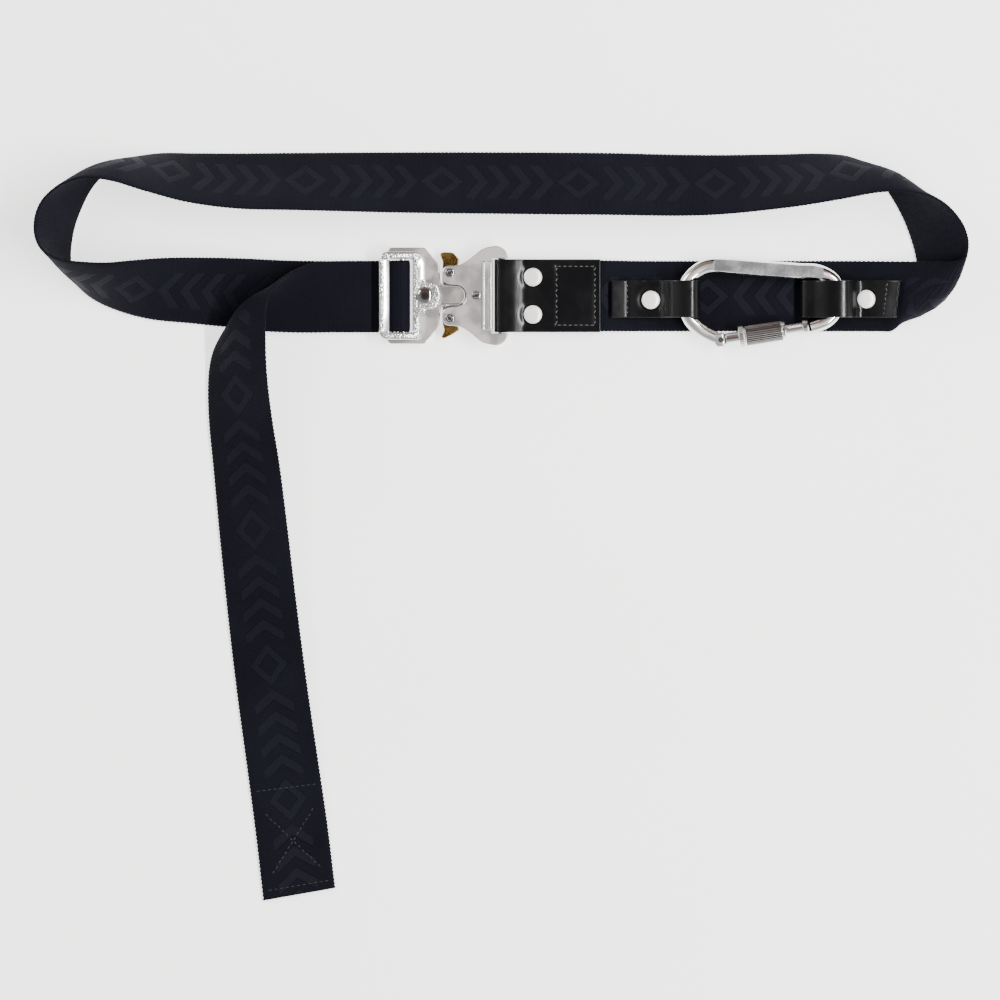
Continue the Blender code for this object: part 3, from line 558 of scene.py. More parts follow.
def group(name, inputs, outputs):
    """A new node group: inputs are rows of name, socket type and default."""
    tree = bpy.data.node_groups.new(name, "ShaderNodeTree")
    for label, kind, default in inputs:
        socket = tree.interface.new_socket(label, in_out="INPUT", socket_type=kind)
        if default is not None:
            socket.default_value = default
    for label, kind in outputs:
        tree.interface.new_socket(label, in_out="OUTPUT", socket_type=kind)
    return tree, node(tree, "NodeGroupInput").outputs, node(tree, "NodeGroupOutput").inputs


def placed(tree, name, sockets):
    return node(tree, "ShaderNodeGroup", sockets, node_tree=bpy.data.node_groups[name]).outputs


def wave_of(tree, turns):
    return maths(tree, "COSINE", times(tree, turns, 2 * math.pi))


FLOAT, VECTOR = "NodeSocketFloat", "NodeSocketVector"


def make_weave_group():
    """Ribs across the webbing, its yarns, and a band of diamonds and chevrons in another weave."""
    tree, given, out = group(
        "Weave",
        (("Place", VECTOR, None), ("Rib Pitch", FLOAT, 0.00105)),
        (("Height", FLOAT), ("Motif", FLOAT), ("Outline", FLOAT), ("Yarn", FLOAT)),
    )
    split = node(tree, "ShaderNodeSeparateXYZ", {"Vector": given["Place"]})
    along, across = split.outputs["X"], split.outputs["Y"]
    middle, repeat, diamond_at, chevron_pitch = 0.0188, 0.072, 0.013, 0.0115
    off_middle = gap(tree, across, middle)
    cell = maths(tree, "MODULO", along, repeat)
    diamond_x = maths(tree, "DIVIDE", gap(tree, cell, diamond_at), 0.0115)
    diamond_y = maths(tree, "DIVIDE", off_middle, 0.0102)
    radius = plus(tree, diamond_x, diamond_y)
    frame_of_diamond = gap(tree, radius, 0.76)
    diamond = between(tree, frame_of_diamond, 0.27, 0.22)
    diamond_edge = between(tree, gap(tree, frame_of_diamond, 0.25), 0.06, 0.02)
    slanted = minus(tree, cell, times(tree, off_middle, 0.75))
    stripe = gap(tree, maths(tree, "MODULO", slanted, chevron_pitch), chevron_pitch / 2)
    after_diamond = between(tree, slanted, 0.0258, 0.0262)
    before_next = between(tree, slanted, 0.0692, 0.0688)
    in_band = between(tree, off_middle, 0.0104, 0.01)
    in_chevrons = times(tree, after_diamond, times(tree, before_next, in_band))
    chevron = times(tree, in_chevrons, between(tree, stripe, 0.0031, 0.0028))
    stripe_edge = between(tree, gap(tree, stripe, 0.00295), 0.0005, 0.0002)
    chevron_edge = times(tree, in_chevrons, stripe_edge)
    motif = maths(tree, "MAXIMUM", diamond, chevron)
    ribs = wave_of(tree, maths(tree, "DIVIDE", along, given["Rib Pitch"]))
    twist = maths(tree, "DIVIDE", across, 0.0006)
    yarns = wave_of(tree, plus(tree, twist, maths(tree, "DIVIDE", along, 0.0021)))
    fine = wave_of(tree, maths(tree, "DIVIDE", across, 0.0009))
    plain = plus(tree, times(tree, ribs, 0.35), times(tree, yarns, 0.3))
    raised = plus(tree, times(tree, ribs, 0.12), times(tree, fine, 0.35))
    inside = node(tree, "ShaderNodeMix", {0: motif, 2: plain, 3: raised}).outputs[0]
    fuzz = noise_of(tree, given["Place"], 2400.0, 3.0)
    height = plus(tree, inside, times(tree, fuzz, 0.5))
    outline = maths(tree, "MAXIMUM", diamond_edge, chevron_edge)
    height = minus(tree, height, times(tree, outline, 1.2))
    height = plus(tree, height, times(tree, motif, 0.8))
    tree.links.new(height, out["Height"])
    tree.links.new(motif, out["Motif"])
    tree.links.new(outline, out["Outline"])
    tree.links.new(between(tree, plus(tree, ribs, yarns), -1.2, 1.4), out["Yarn"])


def make_grain_group():
    """Fine pits and soft patches over a surface, for leather, cast and plated metal."""
    tree, given, out = group(
        "Grain",
        (("Place", VECTOR, None), ("Fine Scale", FLOAT, 1500.0), ("Patch Scale", FLOAT, 60.0)),
        (("Height", FLOAT), ("Patches", FLOAT), ("Specks", FLOAT)),
    )
    place = given["Place"]
    cells = node(tree, "ShaderNodeTexVoronoi", {"Vector": place, "Scale": given["Fine Scale"]})
    noise = noise_of(tree, place, given["Fine Scale"], 4.0)
    patches = noise_of(tree, place, given["Patch Scale"], 5.0)
    height = plus(tree, cells.outputs["Distance"], times(tree, noise, 0.7))
    tree.links.new(height, out["Height"])
    tree.links.new(between(tree, patches, 0.35, 0.7), out["Patches"])
    tree.links.new(between(tree, noise, 0.46, 0.6), out["Specks"])


def make_wear_and_painted_light_group():
    """Worn bare edges that also serve as painted highlights, and hollows darkened as painted shade, from the
    shape's own curvature.
    """
    tree, given, out = group(
        "Edge Wear And Painted Light",
        (("Place", VECTOR, None), ("Scale", FLOAT, 400.0)),
        (("Edges", FLOAT), ("Hollow Shade", FLOAT)),
    )
    shape = node(tree, "ShaderNodeNewGeometry").outputs["Pointiness"]
    noise = noise_of(tree, given["Place"], given["Scale"], 4.0)
    broken = times(tree, minus(tree, noise, 0.5), 0.06)
    rough = plus(tree, shape, broken)
    # Convex edges: a mask for worn edges and for painted highlights.
    tree.links.new(between(tree, rough, 0.52, 0.6), out["Edges"])
    # Hollows: a mask for painted shade.
    tree.links.new(between(tree, rough, 0.48, 0.4), out["Hollow Shade"])


def new_look(name):
    """A material with its tree and its Principled shader, and the place of each point in metres."""
    look = bpy.data.materials.new(name)
    look.use_nodes = True
    tree = look.node_tree
    shader = tree.nodes["Principled BSDF"]
    place = node(tree, "ShaderNodeTexCoord").outputs["Object"]
    return look, tree, shader, place


def bump(tree, shader, height, strength, distance, under=None):
    made = node(tree, "ShaderNodeBump", {"Height": height, "Strength": strength, "Distance": distance})
    if under is not None:
        tree.links.new(under, made.inputs["Normal"])
    tree.links.new(made.outputs["Normal"], shader.inputs["Normal"])
    return made.outputs["Normal"]


def webbing_look():
    look, tree, shader, place = new_look("webbing")
    base = shade(colours().webbing, 1.0)
    strap = node(tree, "ShaderNodeUVMap", uv_map="strap").outputs["UV"]
    weave = placed(tree, "Weave", {"Place": strap, "Rib Pitch": sizes().rib_pitch})
    grain = placed(tree, "Grain", {"Place": place, "Fine Scale": 900.0, "Patch Scale": 22.0})
    lighter = shade(base, 1.7)
    darker = shade(base, 0.3)
    colour = mixed(tree, weave["Yarn"], darker, base)
    colour = mixed(tree, times(tree, weave["Motif"], 0.3), colour, lighter)
    colour = mixed(tree, times(tree, weave["Outline"], 0.8), colour, darker)
    colour = mixed(tree, times(tree, grain["Patches"], 0.3), colour, lighter)
    tree.links.new(colour, shader.inputs["Base Color"])
    tree.links.new(between(tree, weave["Motif"], 0.0, 1.0, 0.78, 0.62), shader.inputs["Roughness"])
    shader.inputs["Specular IOR Level"].default_value = 0.07
    shader.inputs["Sheen Weight"].default_value = 0.02
    shader.inputs["Sheen Roughness"].default_value = 0.45
    shader.inputs["Sheen Tint"].default_value = (0.6, 0.65, 0.95, 1.0)
    bump(tree, shader, weave["Height"], 0.8, 0.00014)
    return look


def leather_look():
    look, tree, shader, place = new_look("leather")
    base = shade(colours().leather, 1.0)
    grain = placed(tree, "Grain", {"Place": place, "Fine Scale": 1300.0, "Patch Scale": 90.0})
    wear_and_painted_light = placed(tree, "Edge Wear And Painted Light", {"Place": place, "Scale": 500.0})
    colour = mixed(tree, times(tree, grain["Patches"], 0.35), base, shade(base, 1.8))
    colour = mixed(tree, times(tree, wear_and_painted_light["Edges"], 0.5), colour, shade(base, 5.0))
    tree.links.new(colour, shader.inputs["Base Color"])
    roughness = between(tree, grain["Patches"], 0.0, 1.0, 0.19, 0.25)
    roughness = plus(tree, roughness, times(tree, wear_and_painted_light["Edges"], 0.2))
    tree.links.new(roughness, shader.inputs["Roughness"])
    shader.inputs["Specular IOR Level"].default_value = 0.26
    shader.inputs["Coat Weight"].default_value = 0.02
    shader.inputs["Coat Roughness"].default_value = 0.15
    creases = noise_of(tree, place, 120.0, 5.0, 0.4)
    under = bump(tree, shader, creases, 0.05, 0.0005)
    bump(tree, shader, grain["Height"], 0.12, 0.0001, under)
    return look


def thread_look(name, colour):
    look, tree, shader, place = new_look(name)
    base = shade(colour, 1.0)
    strands = noise_of(tree, place, 3500.0, 2.0)
    colour = mixed(tree, strands, shade(base, 0.4), base)
    tree.links.new(colour, shader.inputs["Base Color"])
    shader.inputs["Roughness"].default_value = 0.6
    bump(tree, shader, strands, 0.5, 0.0001)
    return look


def metal_look(
    name, base, roughness, fine, strength, distance, speck=0.0, tarnish=(0.4, 0.38, 0.36), patch=70.0
):
    """A plated, cast or polished metal with its own grain, patches of tarnish, hollows darkened as painted
    shade, and bright edges that are part wear and part painted highlight.
    """
    look, tree, shader, place = new_look(name)
    clean_metal = shade(base, 1.0)
    grain = placed(tree, "Grain", {"Place": place, "Fine Scale": fine, "Patch Scale": patch})
    wear_and_painted_light = placed(tree, "Edge Wear And Painted Light", {"Place": place, "Scale": 700.0})
    dull = tuple(b * t for b, t in zip(base, tarnish)) + (1.0,)
    colour = mixed(tree, times(tree, grain["Patches"], 0.22), clean_metal, dull)
    colour = mixed(tree, times(tree, grain["Specks"], speck), colour, dull)
    # Painted shade: hollows are darkened towards the tarnished colour.
    colour = mixed(tree, times(tree, wear_and_painted_light["Hollow Shade"], 0.55), colour, dull)
    # Bright edges: part wear, part painted highlight.
    colour = mixed(tree, times(tree, wear_and_painted_light["Edges"], 0.5), colour, (0.95, 0.94, 0.93, 1.0))
    tree.links.new(colour, shader.inputs["Base Color"])
    shader.inputs["Metallic"].default_value = 1.0
    rough = between(tree, grain["Patches"], 0.0, 1.0, roughness * 0.85, roughness * 1.3)
    rough = plus(tree, rough, times(tree, grain["Specks"], speck * 0.3))
    tree.links.new(rough, shader.inputs["Roughness"])
    bump(tree, shader, grain["Height"], strength, distance)
    return look


def looks():
    """Every material of the belt, made once."""
    if "webbing" not in bpy.data.materials:
        make_weave_group()
        make_grain_group()
        make_wear_and_painted_light_group()
        webbing_look()
        leather_look()
        c = colours()
        thread_look("thread", tuple(c.thread))
        thread_look("webbing_thread", tuple(c.webbing))
        silver, nickel, shine = tuple(c.cast), tuple(c.nickel), tuple(c.aluminium)
        metal_look("cast_metal", silver, 0.26, 1100.0, 0.6, 0.0004, speck=0.95, tarnish=(0.12, 0.12, 0.13))
        metal_look("polished_silver", silver, 0.16, 1500.0, 0.05, 0.00005, tarnish=(0.6, 0.6, 0.6))
        metal_look("satin_plate", nickel, 0.45, 2600.0, 0.12, 0.00004, tarnish=(0.85, 0.83, 0.81))
        metal_look(
            "polished_nickel", (0.86, 0.85, 0.84), 0.14, 2600.0, 0.08, 0.00003, tarnish=(0.7, 0.68, 0.66)
        )
        metal_look(
            "worn_brass", tuple(c.brass), 0.24, 900.0, 0.3, 0.00015, 0.6, (0.22, 0.17, 0.12), 260.0
        )
        metal_look("polished_bar", shine, 0.13, 2400.0, 0.08, 0.00004, tarnish=(0.75, 0.72, 0.7))
        metal_look("milled_aluminium", (0.23, 0.23, 0.235), 0.42, 3000.0, 0.2, 0.00004)
        cap = metal_look("rivet_cap", tuple(c.cap), 0.36, 2200.0, 0.1, 0.00003, tarnish=(0.85, 0.84, 0.8))
        cap.node_tree.nodes["Principled BSDF"].inputs["Metallic"].default_value = 0.2
        # Chrome darkened as painted light: it stands in for the dark reflection on the frame's dome and the
        # shade in the sleeve's knurling.
        metal_look("shade_darkened_chrome", (0.36, 0.34, 0.335), 0.06, 2600.0, 0.04, 0.00002)
        metal_look("bright_chrome", (0.82, 0.82, 0.83), 0.07, 2600.0, 0.04, 0.00002)
    return bpy.data.materials


# The webbing


def through(values, at, places, slope=None):
    """A smooth curve through values at their distances, read at places."""
    if slope is None:
        slope = np.gradient(values, at, axis=0)
    index = np.clip(np.searchsorted(at, places, side="right") - 1, 0, len(at) - 2)
    span = (at[index + 1] - at[index])[:, None]
    t = (places - at[index])[:, None] / span
    return (
        (2 * t**3 - 3 * t**2 + 1) * values[index]
        + (t**3 - 2 * t**2 + t) * span * slope[index]
        + (3 * t**2 - 2 * t**3) * values[index + 1]
        + (t**3 - t**2) * span * slope[index + 1]
    )


def run_of(rows):
    """Smooth edge lines through a table's rows, every half millimetre or so."""
    p = np.array([row[1:] for row in rows], float)
    low = np.linalg.norm(np.diff(p[:, :3], axis=0), axis=1)
    high = np.linalg.norm(np.diff(p[:, 3:6], axis=0), axis=1)
    at = np.concatenate([[0.0], np.cumsum(np.sqrt(low + high))])
    slope = np.empty_like(p)
    slope[1:-1] = (p[2:] - p[:-2]) / (at[2:] - at[:-2])[:, None]
    slope[0] = (p[1] - p[0]) / (at[1] - at[0])
    slope[-1] = (p[-1] - p[-2]) / (at[-1] - at[-2])
    places = np.unique(np.concatenate([np.linspace(a, b, 25) for a, b in zip(at, at[1:])]))
    return through(p, at, places, slope)


def turn_round_bar():
    x, z, radius, leaves_at = WEB_BAR
    return np.array([(a, -19.1, b, a, 18.6, b, 0.0) for a, b in arc(x, z, radius, -90, leaves_at, 40)])


class Strap:
    """The webbing's middle surface, dense along its length, and a frame at any place on it."""

    def __init__(self):
        rows = np.concatenate([run_of(WEBBING_LOOP), turn_round_bar(), run_of(WEBBING_TAIL)])
        low = np.linalg.norm(np.diff(rows[:, :3], axis=0), axis=1)
        high = np.linalg.norm(np.diff(rows[:, 3:6], axis=0), axis=1)
        at = np.concatenate([[0.0], np.cumsum((low + high) / 2)]) * MM
        self.step = sizes().rib_pitch / 2
        self.places = np.arange(0.0, at[-1], self.step)
        rows = np.stack([np.interp(self.places, at, rows[:, k]) for k in range(7)], 1) * MM
        self.length = self.places[-1]
        low, high, bow = rows[:, :3], rows[:, 3:6], rows[:, 6:]
        ahead = np.gradient((low + high) / 2, axis=0)
        face = np.cross(ahead, high - low)
        face /= np.linalg.norm(face, axis=1)[:, None]
        shift = np.array(DRAWING)
        self.edges = np.stack([low + shift, (low + high) / 2 + bow * face + shift, high + shift], 1)

    def surface(self, share):
        """Points of the middle surface at each share of the width."""
        v = np.asarray(share)[None, :, None]
        low, centre, high = (self.edges[:, k][:, None, :] for k in range(3))
        return (2 * (v - 0.5) * (v - 1)) * low + (4 * v * (1 - v)) * centre + (2 * v * (v - 0.5)) * high

    def normals(self, middle):
        along = np.gradient(middle, axis=0)
        across = np.gradient(middle, axis=1)
        normal = np.cross(along, across)
        return normal / np.linalg.norm(normal, axis=2)[:, :, None]

    def place(self, distance, share):
        """The point at a distance from the tail's end, with the directions along, across and out."""
        row = int(round((self.length - distance) / self.step))
        row = min(max(row, 2), len(self.places) - 3)
        near = self.surface((share - 0.02, share, share + 0.02))[row - 2 : row + 3]
        out = self.normals(near)[2, 1]
        along = near[4, 1] - near[0, 1]
        along /= np.linalg.norm(along)
        return near[2, 1], along, np.cross(out, along), out


def make_webbing():
    strap = Strap()
    shares = np.array(EDGE_SHARES)
    middle = strap.surface(shares)
    normal = strap.normals(middle)
    count, columns = middle.shape[:2]
    wave = np.cos(2 * math.pi * strap.places / SCALLOP_PITCH)[:, None, None] * SCALLOP_DEPTH
    outward = middle[:, -1:] - middle[:, :1]
    outward /= np.linalg.norm(outward, axis=2)[:, :, None]
    reach = np.clip((np.abs(shares - 0.5) - 0.44) / 0.06, 0, 1) * np.sign(shares - 0.5)
    middle = middle + outward * wave * reach[None, :, None]
    half = WEB_THICK / 2 * np.array(EDGE_THICKNESS)
    rib = np.where(np.arange(count) % 2 == 0, 0.5, -0.5)[:, None] * sizes().rib_height
    flat = np.array(EDGE_THICKNESS)[None, :] ** 2
    ply = np.clip((strap.places - (strap.length - PLY_FROM_END)) / 0.0006, 0, 1)[:, None] * PLY_RISE
    outer = middle + normal * (half[None, :] + rib * flat - sizes().rib_height / 2 + ply * flat)[:, :, None]
    inner = middle - normal * (half[None, :] + rib * flat - sizes().rib_height / 2)[:, :, None]
    ring = np.concatenate([outer, inner[:, ::-1]], axis=1)
    around = 2 * columns
    rows = np.arange(count - 1)[:, None] * around
    here = rows + np.arange(around)[None, :]
    onward = rows + (np.arange(around)[None, :] + 1) % around
    faces = np.stack([here, onward, onward + around, here + around], axis=2).reshape(-1, 4)
    caps = []
    for start in (0, (count - 1) * around):
        for j in range(columns - 1):
            caps.append((start + j, start + j + 1, start + around - 2 - j, start + around - 1 - j))
    mesh = bpy.data.meshes.new("belt_webbing")
    mesh.from_pydata(ring.reshape(-1, 3).tolist(), [], faces.tolist() + caps)
    across = np.concatenate([shares * WEB_WIDTH, (shares * WEB_WIDTH)[::-1] + 0.1])
    u = np.repeat(strap.places, around)
    v = np.tile(across, count)
    corner = np.zeros(len(mesh.loops), dtype=np.int32)
    mesh.loops.foreach_get("vertex_index", corner)
    layer = mesh.uv_layers.new(name="strap")
    layer.data.foreach_set("uv", np.stack([u[corner], v[corner]], axis=1).ravel())
    obj = link("belt_webbing", mesh)
    clean(obj, 1e-9)
    activate(obj)
    bpy.ops.object.shade_smooth()
    finish_piece(obj, looks()["webbing"], "root", "webbing_black", "webbing_loop", "webbing_tail")
    return strap


# Stitching


def stitches(name, rows, look):
    """Stitches from rows of middle point, direction and outward normal, each copied from one thread."""
    bpy.ops.object.select_all(action="DESELECT")
    bpy.ops.mesh.primitive_uv_sphere_add(segments=8, ring_count=6, radius=1.0, location=(0.0, 0.0, 0.0))
    thread = bpy.context.object
    thread.scale = (sizes().stitch_length / 2, THREAD_RADIUS * MM, THREAD_RADIUS * MM * 0.8)
    bpy.ops.object.transform_apply(location=False, rotation=False, scale=True)
    made = []
    for middle, direction, normal in rows:
        along = Vector(direction).normalized()
        out = Vector(normal).normalized()
        side = out.cross(along).normalized()
        turn = Matrix((along, side, out)).transposed().to_4x4()
        copy = link(name, thread.data.copy())
        copy.data.transform(Matrix.Translation(Vector(middle)) @ turn)
        made.append(copy)
    bpy.data.objects.remove(thread, do_unlink=True)
    activate(made[0])
    for obj in made:
        obj.select_set(True)
    bpy.ops.object.join()
    obj = bpy.context.object
    obj.name = name
    bpy.ops.object.shade_smooth()
    finish_piece(obj, look, "root", "webbing_black")


def seam(start, end, slant=0.0):
    """Stitch places in plan from start to end in millimetres: x, y and direction, slanted in turn."""
    start, end = Vector(start), Vector(end)
    count = max(2, int(round((end - start).length / SEAM_PITCH)))
    angle = math.atan2(end.y - start.y, end.x - start.x)
    rows = []
    for k in range(count):
        at = start.lerp(end, (k + 0.5) / count)
        lean = angle + math.radians(slant) * (1 if k % 2 else -1)
        rows.append((at.x, at.y, math.cos(lean), math.sin(lean)))
    return rows


# Leather


def smooth_line(points, step):
    """Points of a path, made dense and smooth."""
    p = np.array(points, float)
    at = np.concatenate([[0.0], np.cumsum(np.linalg.norm(np.diff(p, axis=0), axis=1))])
    return through(p, at, np.linspace(0.0, at[-1], int(at[-1] / step) + 1))


def leather_band(name, path, width, thickness, dents=None, slant=None):
    """A band of leather: its path in X and Z carried across, given its thickness and soft edges."""
    line = smooth_line(path, 0.7)
    low, high = width
    count = int((high - low) / 0.75)
    mesh = bpy.data.meshes.new(name)
    side = [(x * MM, low * MM, z * MM) for x, z in line]
    mesh.from_pydata(side, [(i, i + 1) for i in range(len(side) - 1)], [])
    obj = link(name, mesh)
    activate(obj)
    bpy.ops.object.mode_set(mode="EDIT")
    bpy.ops.mesh.select_all(action="SELECT")
    step = (0.0, (high - low) / count * MM, 0.0)
    for _ in range(count):
        bpy.ops.mesh.extrude_region_move(TRANSFORM_OT_translate={"value": step})
    bpy.ops.object.mode_set(mode="OBJECT")
    clean(obj)
    points = obj.data.vertices
    normals = [v.normal.copy() for v in points]
    upper_from = 0.0046
    upper = {i for i, v in enumerate(points) if abs(v.normal.z) > 0.2 and v.co.z > upper_from}
    flip = -1.0 if sum(normals[i].z for i in upper) < 0 else 1.0
    for i, v in enumerate(points):
        x, y = v.co.x / MM, v.co.y / MM
        if dents and i in upper:
            v.co -= normals[i] * flip * dents(x, y) * MM
        if slant:
            share = min(max((x - slant[0]) / 6.0, 0.0), 1.0)
            v.co.x += share * slant[1] * (y - (low + high) / 2) * MM
    solid = obj.modifiers.new("thickness", "SOLIDIFY")
    solid.thickness = thickness
    solid.offset = 0.0
    solid.use_even_offset = True
    edge = obj.modifiers.new("soft_edge", "BEVEL")
    edge.width = thickness * 0.26
    edge.segments = 3
    edge.limit_method = "ANGLE"
    edge.angle_limit = math.radians(60)
    activate(obj)
    bpy.ops.object.modifier_apply(modifier=solid.name)
    bpy.ops.object.modifier_apply(modifier=edge.name)
    obj.data.transform(Matrix.Translation(DRAWING))
    clean(obj, 1e-7)
    smooth(obj, 50.0)
    return obj


def dimple(x, y, centre, depth=0.35):
    """How far leather is pressed in at a place, in a ring round a rivet."""
    radius, width = 5.6, 1.3
    away = math.hypot(x - centre[0], y - centre[1])
    return depth * math.exp(-(((away - radius) / width) ** 2))


def groove(offset):
    """How far leather is pressed in at a distance from a seam."""
    depth, width = 0.22, 0.8
    return depth * math.exp(-((offset / width) ** 2))


def tab_dents(x, y):
    left, right, half = TAB_SEAM
    depth = sum(dimple(x, y, rivet) for rivet in TAB_RIVETS)
    if left - 1 < x < right + 1:
        depth += max(groove(y - half), groove(y + half))
    if abs(y) < half + 1:
        depth += max(groove(x - left), groove(x - right))
    return depth


def make_tab():
    radius = 1.75 + 0.3 + sizes().leather_thickness / MM / 2
    low, high = 4.2 - radius, 5.4
    path = [(52.5, low), (42.0, low), (30.0, low), (18.0, low), (8.0, low), (4.0, low)]
    path += arc(0.4, 4.2, radius, 270, 90, 12)
    path += [(3.4, 7.1), (6.4, 6.75), (9.4, 6.05), (11.9, high + 0.05), (15.0, high), (22.0, high)]
    path += [(30.0, high), (38.0, high), (46.0, high), (52.5, high)]
    width = (-TAB_HALF, TAB_HALF)
    obj = leather_band("tab_leather", path, width, sizes().leather_thickness, tab_dents)
    finish_piece(obj, looks()["leather"], "root", "black_leather", "leather_tab")
    left, right, half = TAB_SEAM
    level = high + sizes().leather_thickness / MM / 2 - 0.14
    rows = seam((left, -half), (left, half), 24) + seam((right, half), (right, -half), 24)
    rows += seam((left, half), (right, half)) + seam((right, -half), (left, -half))
    stitch_on_plan("tab_stitching", rows, lambda x: level)


def stitch_on_plan(name, rows, level):
    """Lays stitches over leather whose top is at level(x), following its slope."""
    placed_rows = []
    for x, y, dx, dy in rows:
        rise = (level(x + 0.5) - level(x - 0.5)) * dx
        normal = Vector((-(level(x + 0.5) - level(x - 0.5)), 0.0, 1.0))
        point = Vector((x, y, level(x))) * MM + DRAWING
        placed_rows.append((point, (dx, dy, rise), normal))
    stitches(name, placed_rows, looks()["thread"])


def make_left_loop():
    path = [(58.3, 4.62), (62.0, 4.1), (66.0, 3.5), (70.0, 3.2), (77.0, 3.15), (84.0, 3.15), (92.0, 3.15)]
    path += arc(99.2, 8.35, 5.2, -90, 90, 14)
    path += [(94.9, 13.3), (91.4, 12.0), (87.7, 8.4), (84.4, 5.5), (80.0, 4.85), (70.0, 4.85)]
    path += [(66.0, 5.1), (62.0, 5.65), (58.3, 6.17)]
    obj = leather_band(
        "left_loop_leather",
        path,
        (STRIP_LOW, STRIP_HIGH),
        sizes().strip_thickness,
        lambda x, y: dimple(x, y, LEFT_LOOP_RIVET) + (groove(x - LEFT_SEAM_X) if x < 72 else 0.0),
    )
    finish_piece(obj, looks()["leather"], "root", "black_leather", "loop_strip_left")
    top = sizes().strip_thickness / MM / 2 - 0.12
    rows = seam((LEFT_SEAM_X, STRIP_LOW + 1.0), (LEFT_SEAM_X, STRIP_HIGH - 1.0), 28)
    level_rows = ((62.0, 66.0, 70.0), (5.65, 5.1, 4.85))
    stitch_on_plan("left_loop_stitching", rows, lambda x: np.interp(x, *level_rows) + top)


def make_right_loop():
    path = [(209.6, 9.75), (204.0, 6.8), (198.0, 5.2), (192.0, 4.2)]
    path += [(186.0, 3.55), (180.0, 3.15), (172.0, 3.15)]
    path += arc(161.9, 6.4, 3.25, 270, 90, 12)
    path += [(165.6, 10.15), (170.3, 12.3), (173.9, 13.1), (179.1, 13.2), (182.3, 12.25), (184.8, 9.85)]
    path += [(187.0, 7.0), (189.4, 5.85), (192.5, 5.75), (197.5, 6.5), (203.0, 8.1), (208.9, 11.1)]
    obj = leather_band(
        "right_loop_leather",
        path,
        (STRIP_LOW, STRIP_HIGH),
        sizes().strip_thickness,
        lambda x, y: (dimple(x, y, RIGHT_LOOP_RIVET, depth=0.2) if x > 187 else 0.0),
        slant=(200.0, 0.12),
    )
    finish_piece(obj, looks()["leather"], "root", "black_leather", "loop_strip_right")
    top = sizes().strip_thickness / MM / 2 - 0.1
    rows = seam((RIGHT_SEAM_X - 0.9, STRIP_LOW + 1.0), (RIGHT_SEAM_X + 0.9, STRIP_HIGH - 1.0), 28)
    level_rows = ((197.5, 203.0, 208.9), (6.5, 8.1, 11.1))
    stitch_on_plan("right_loop_stitching", rows, lambda x: np.interp(x, *level_rows) + top)


# Buckle


def make_cast_frame():
    outer = rounded(
        (
            (-64.5, 23.2, 4.6),
            (-64.5, -23.2, 4.6),
            (-40.1, -23.2, 4.6),
            (-40.1, -7.4, 1.2),
            (-33.8, -7.0, 5.2),
            (-31.9, 0.0, 6.5),
            (-33.8, 7.0, 5.2),
            (-40.1, 7.4, 1.2),
            (-40.1, 23.2, 4.6),
        ),
        8,
    )
    slot = rounded(((-59.0, 19.4, 1.2), (-46.6, 19.4, 1.2), (-46.6, -19.4, 1.2), (-59.0, -19.4, 1.2)), 4)
    obj = plate("cast_frame", (outer, slot), *CAST_FRAME_LEVELS, 0.9, 4)
    top = CAST_FRAME_LEVELS[1]
    shave(obj, top, (-61.7, -58.6), 1.5, (-18.9, 18.9))
    shave(obj, top, (-43.4, -39.9), 1.7, (8.6, 22.0))
    shave(obj, top, (-43.4, -39.9), 1.7, (-22.0, -8.6))
    clean(obj)
    smooth(obj)
    finish_piece(obj, looks()["cast_metal"], "root", "cast_silver", "adjuster_frame")
    edge_look(obj, looks()["polished_silver"])


def make_tongue_plate():
    half = (
        (-18.3, 5.9, 5.2),
        (-31.7, 5.9, 1.4),
        (-32.7, 16.6, 2.5),
        (-40.1, 25.5, 2.0),
        (-58.4, 25.5, 1.6),
        (-60.3, 23.6, 1.4),
        (-60.3, 19.9, 1.2),
        (-46.6, 19.9, 1.2),
    )
    lower = tuple((x, -y, r) for x, y, r in reversed(half))
    obj = plate("tongue_plate", (rounded(half + lower, 6),), *TONGUE_PLATE_LEVELS, 0.6, 3)
    bar = turned("bar", rim(0.0, 44.0, 2.0, 0.3), (-52.0, -22.0, 4.5), (0.0, 1.0, 0.0), 32)
    combine(obj, bar, "UNION")
    top = plate("tongue_top", (oblong(-40.0, -18.8, 5.2, 1.0, 4.9, 8),), *TONGUE_LEVELS, 0.5, 3)
    ramp_start = -31.5 * MM + DRAWING.x
    for v in top.data.vertices:
        if v.co.x < ramp_start and v.co.z > 6.0 * MM:
            v.co.z -= (ramp_start - v.co.x) * 0.3
    combine(obj, top, "UNION")
    clean(obj)
    smooth(obj)
    finish_piece(obj, looks()["satin_plate"], "root", "satin_nickel", "male_plate")
    edge_look(obj, looks()["polished_nickel"])


def fixed_half_outline():
    """The fixed plate's upper half, from its right end round the wing and the lobe to its notch."""
    wing = [(3.9, 19.9)] + arc(-2.9, 19.6, 6.7, 8, 100, 12)
    wing += [(-7.6, 25.6), (-10.4, 24.3), (-12.8, 22.5), (-15.3, 20.5)]
    wing += [(-17.6, 18.7), (-19.8, 17.3), (-22.0, 16.3)]
    wing += arc(-27.1, 12.0, 3.9, 75, 180, 12)
    corner = [(-31.0, 9.5), (-30.7, 8.3), (-29.9, 7.2), (-28.6, 6.4), (-27.0, 5.95), (-25.6, 5.8)]
    half_notch = arc(-24.0, 0.0, 5.75, 90, 0, 12)
    return wing + corner + half_notch


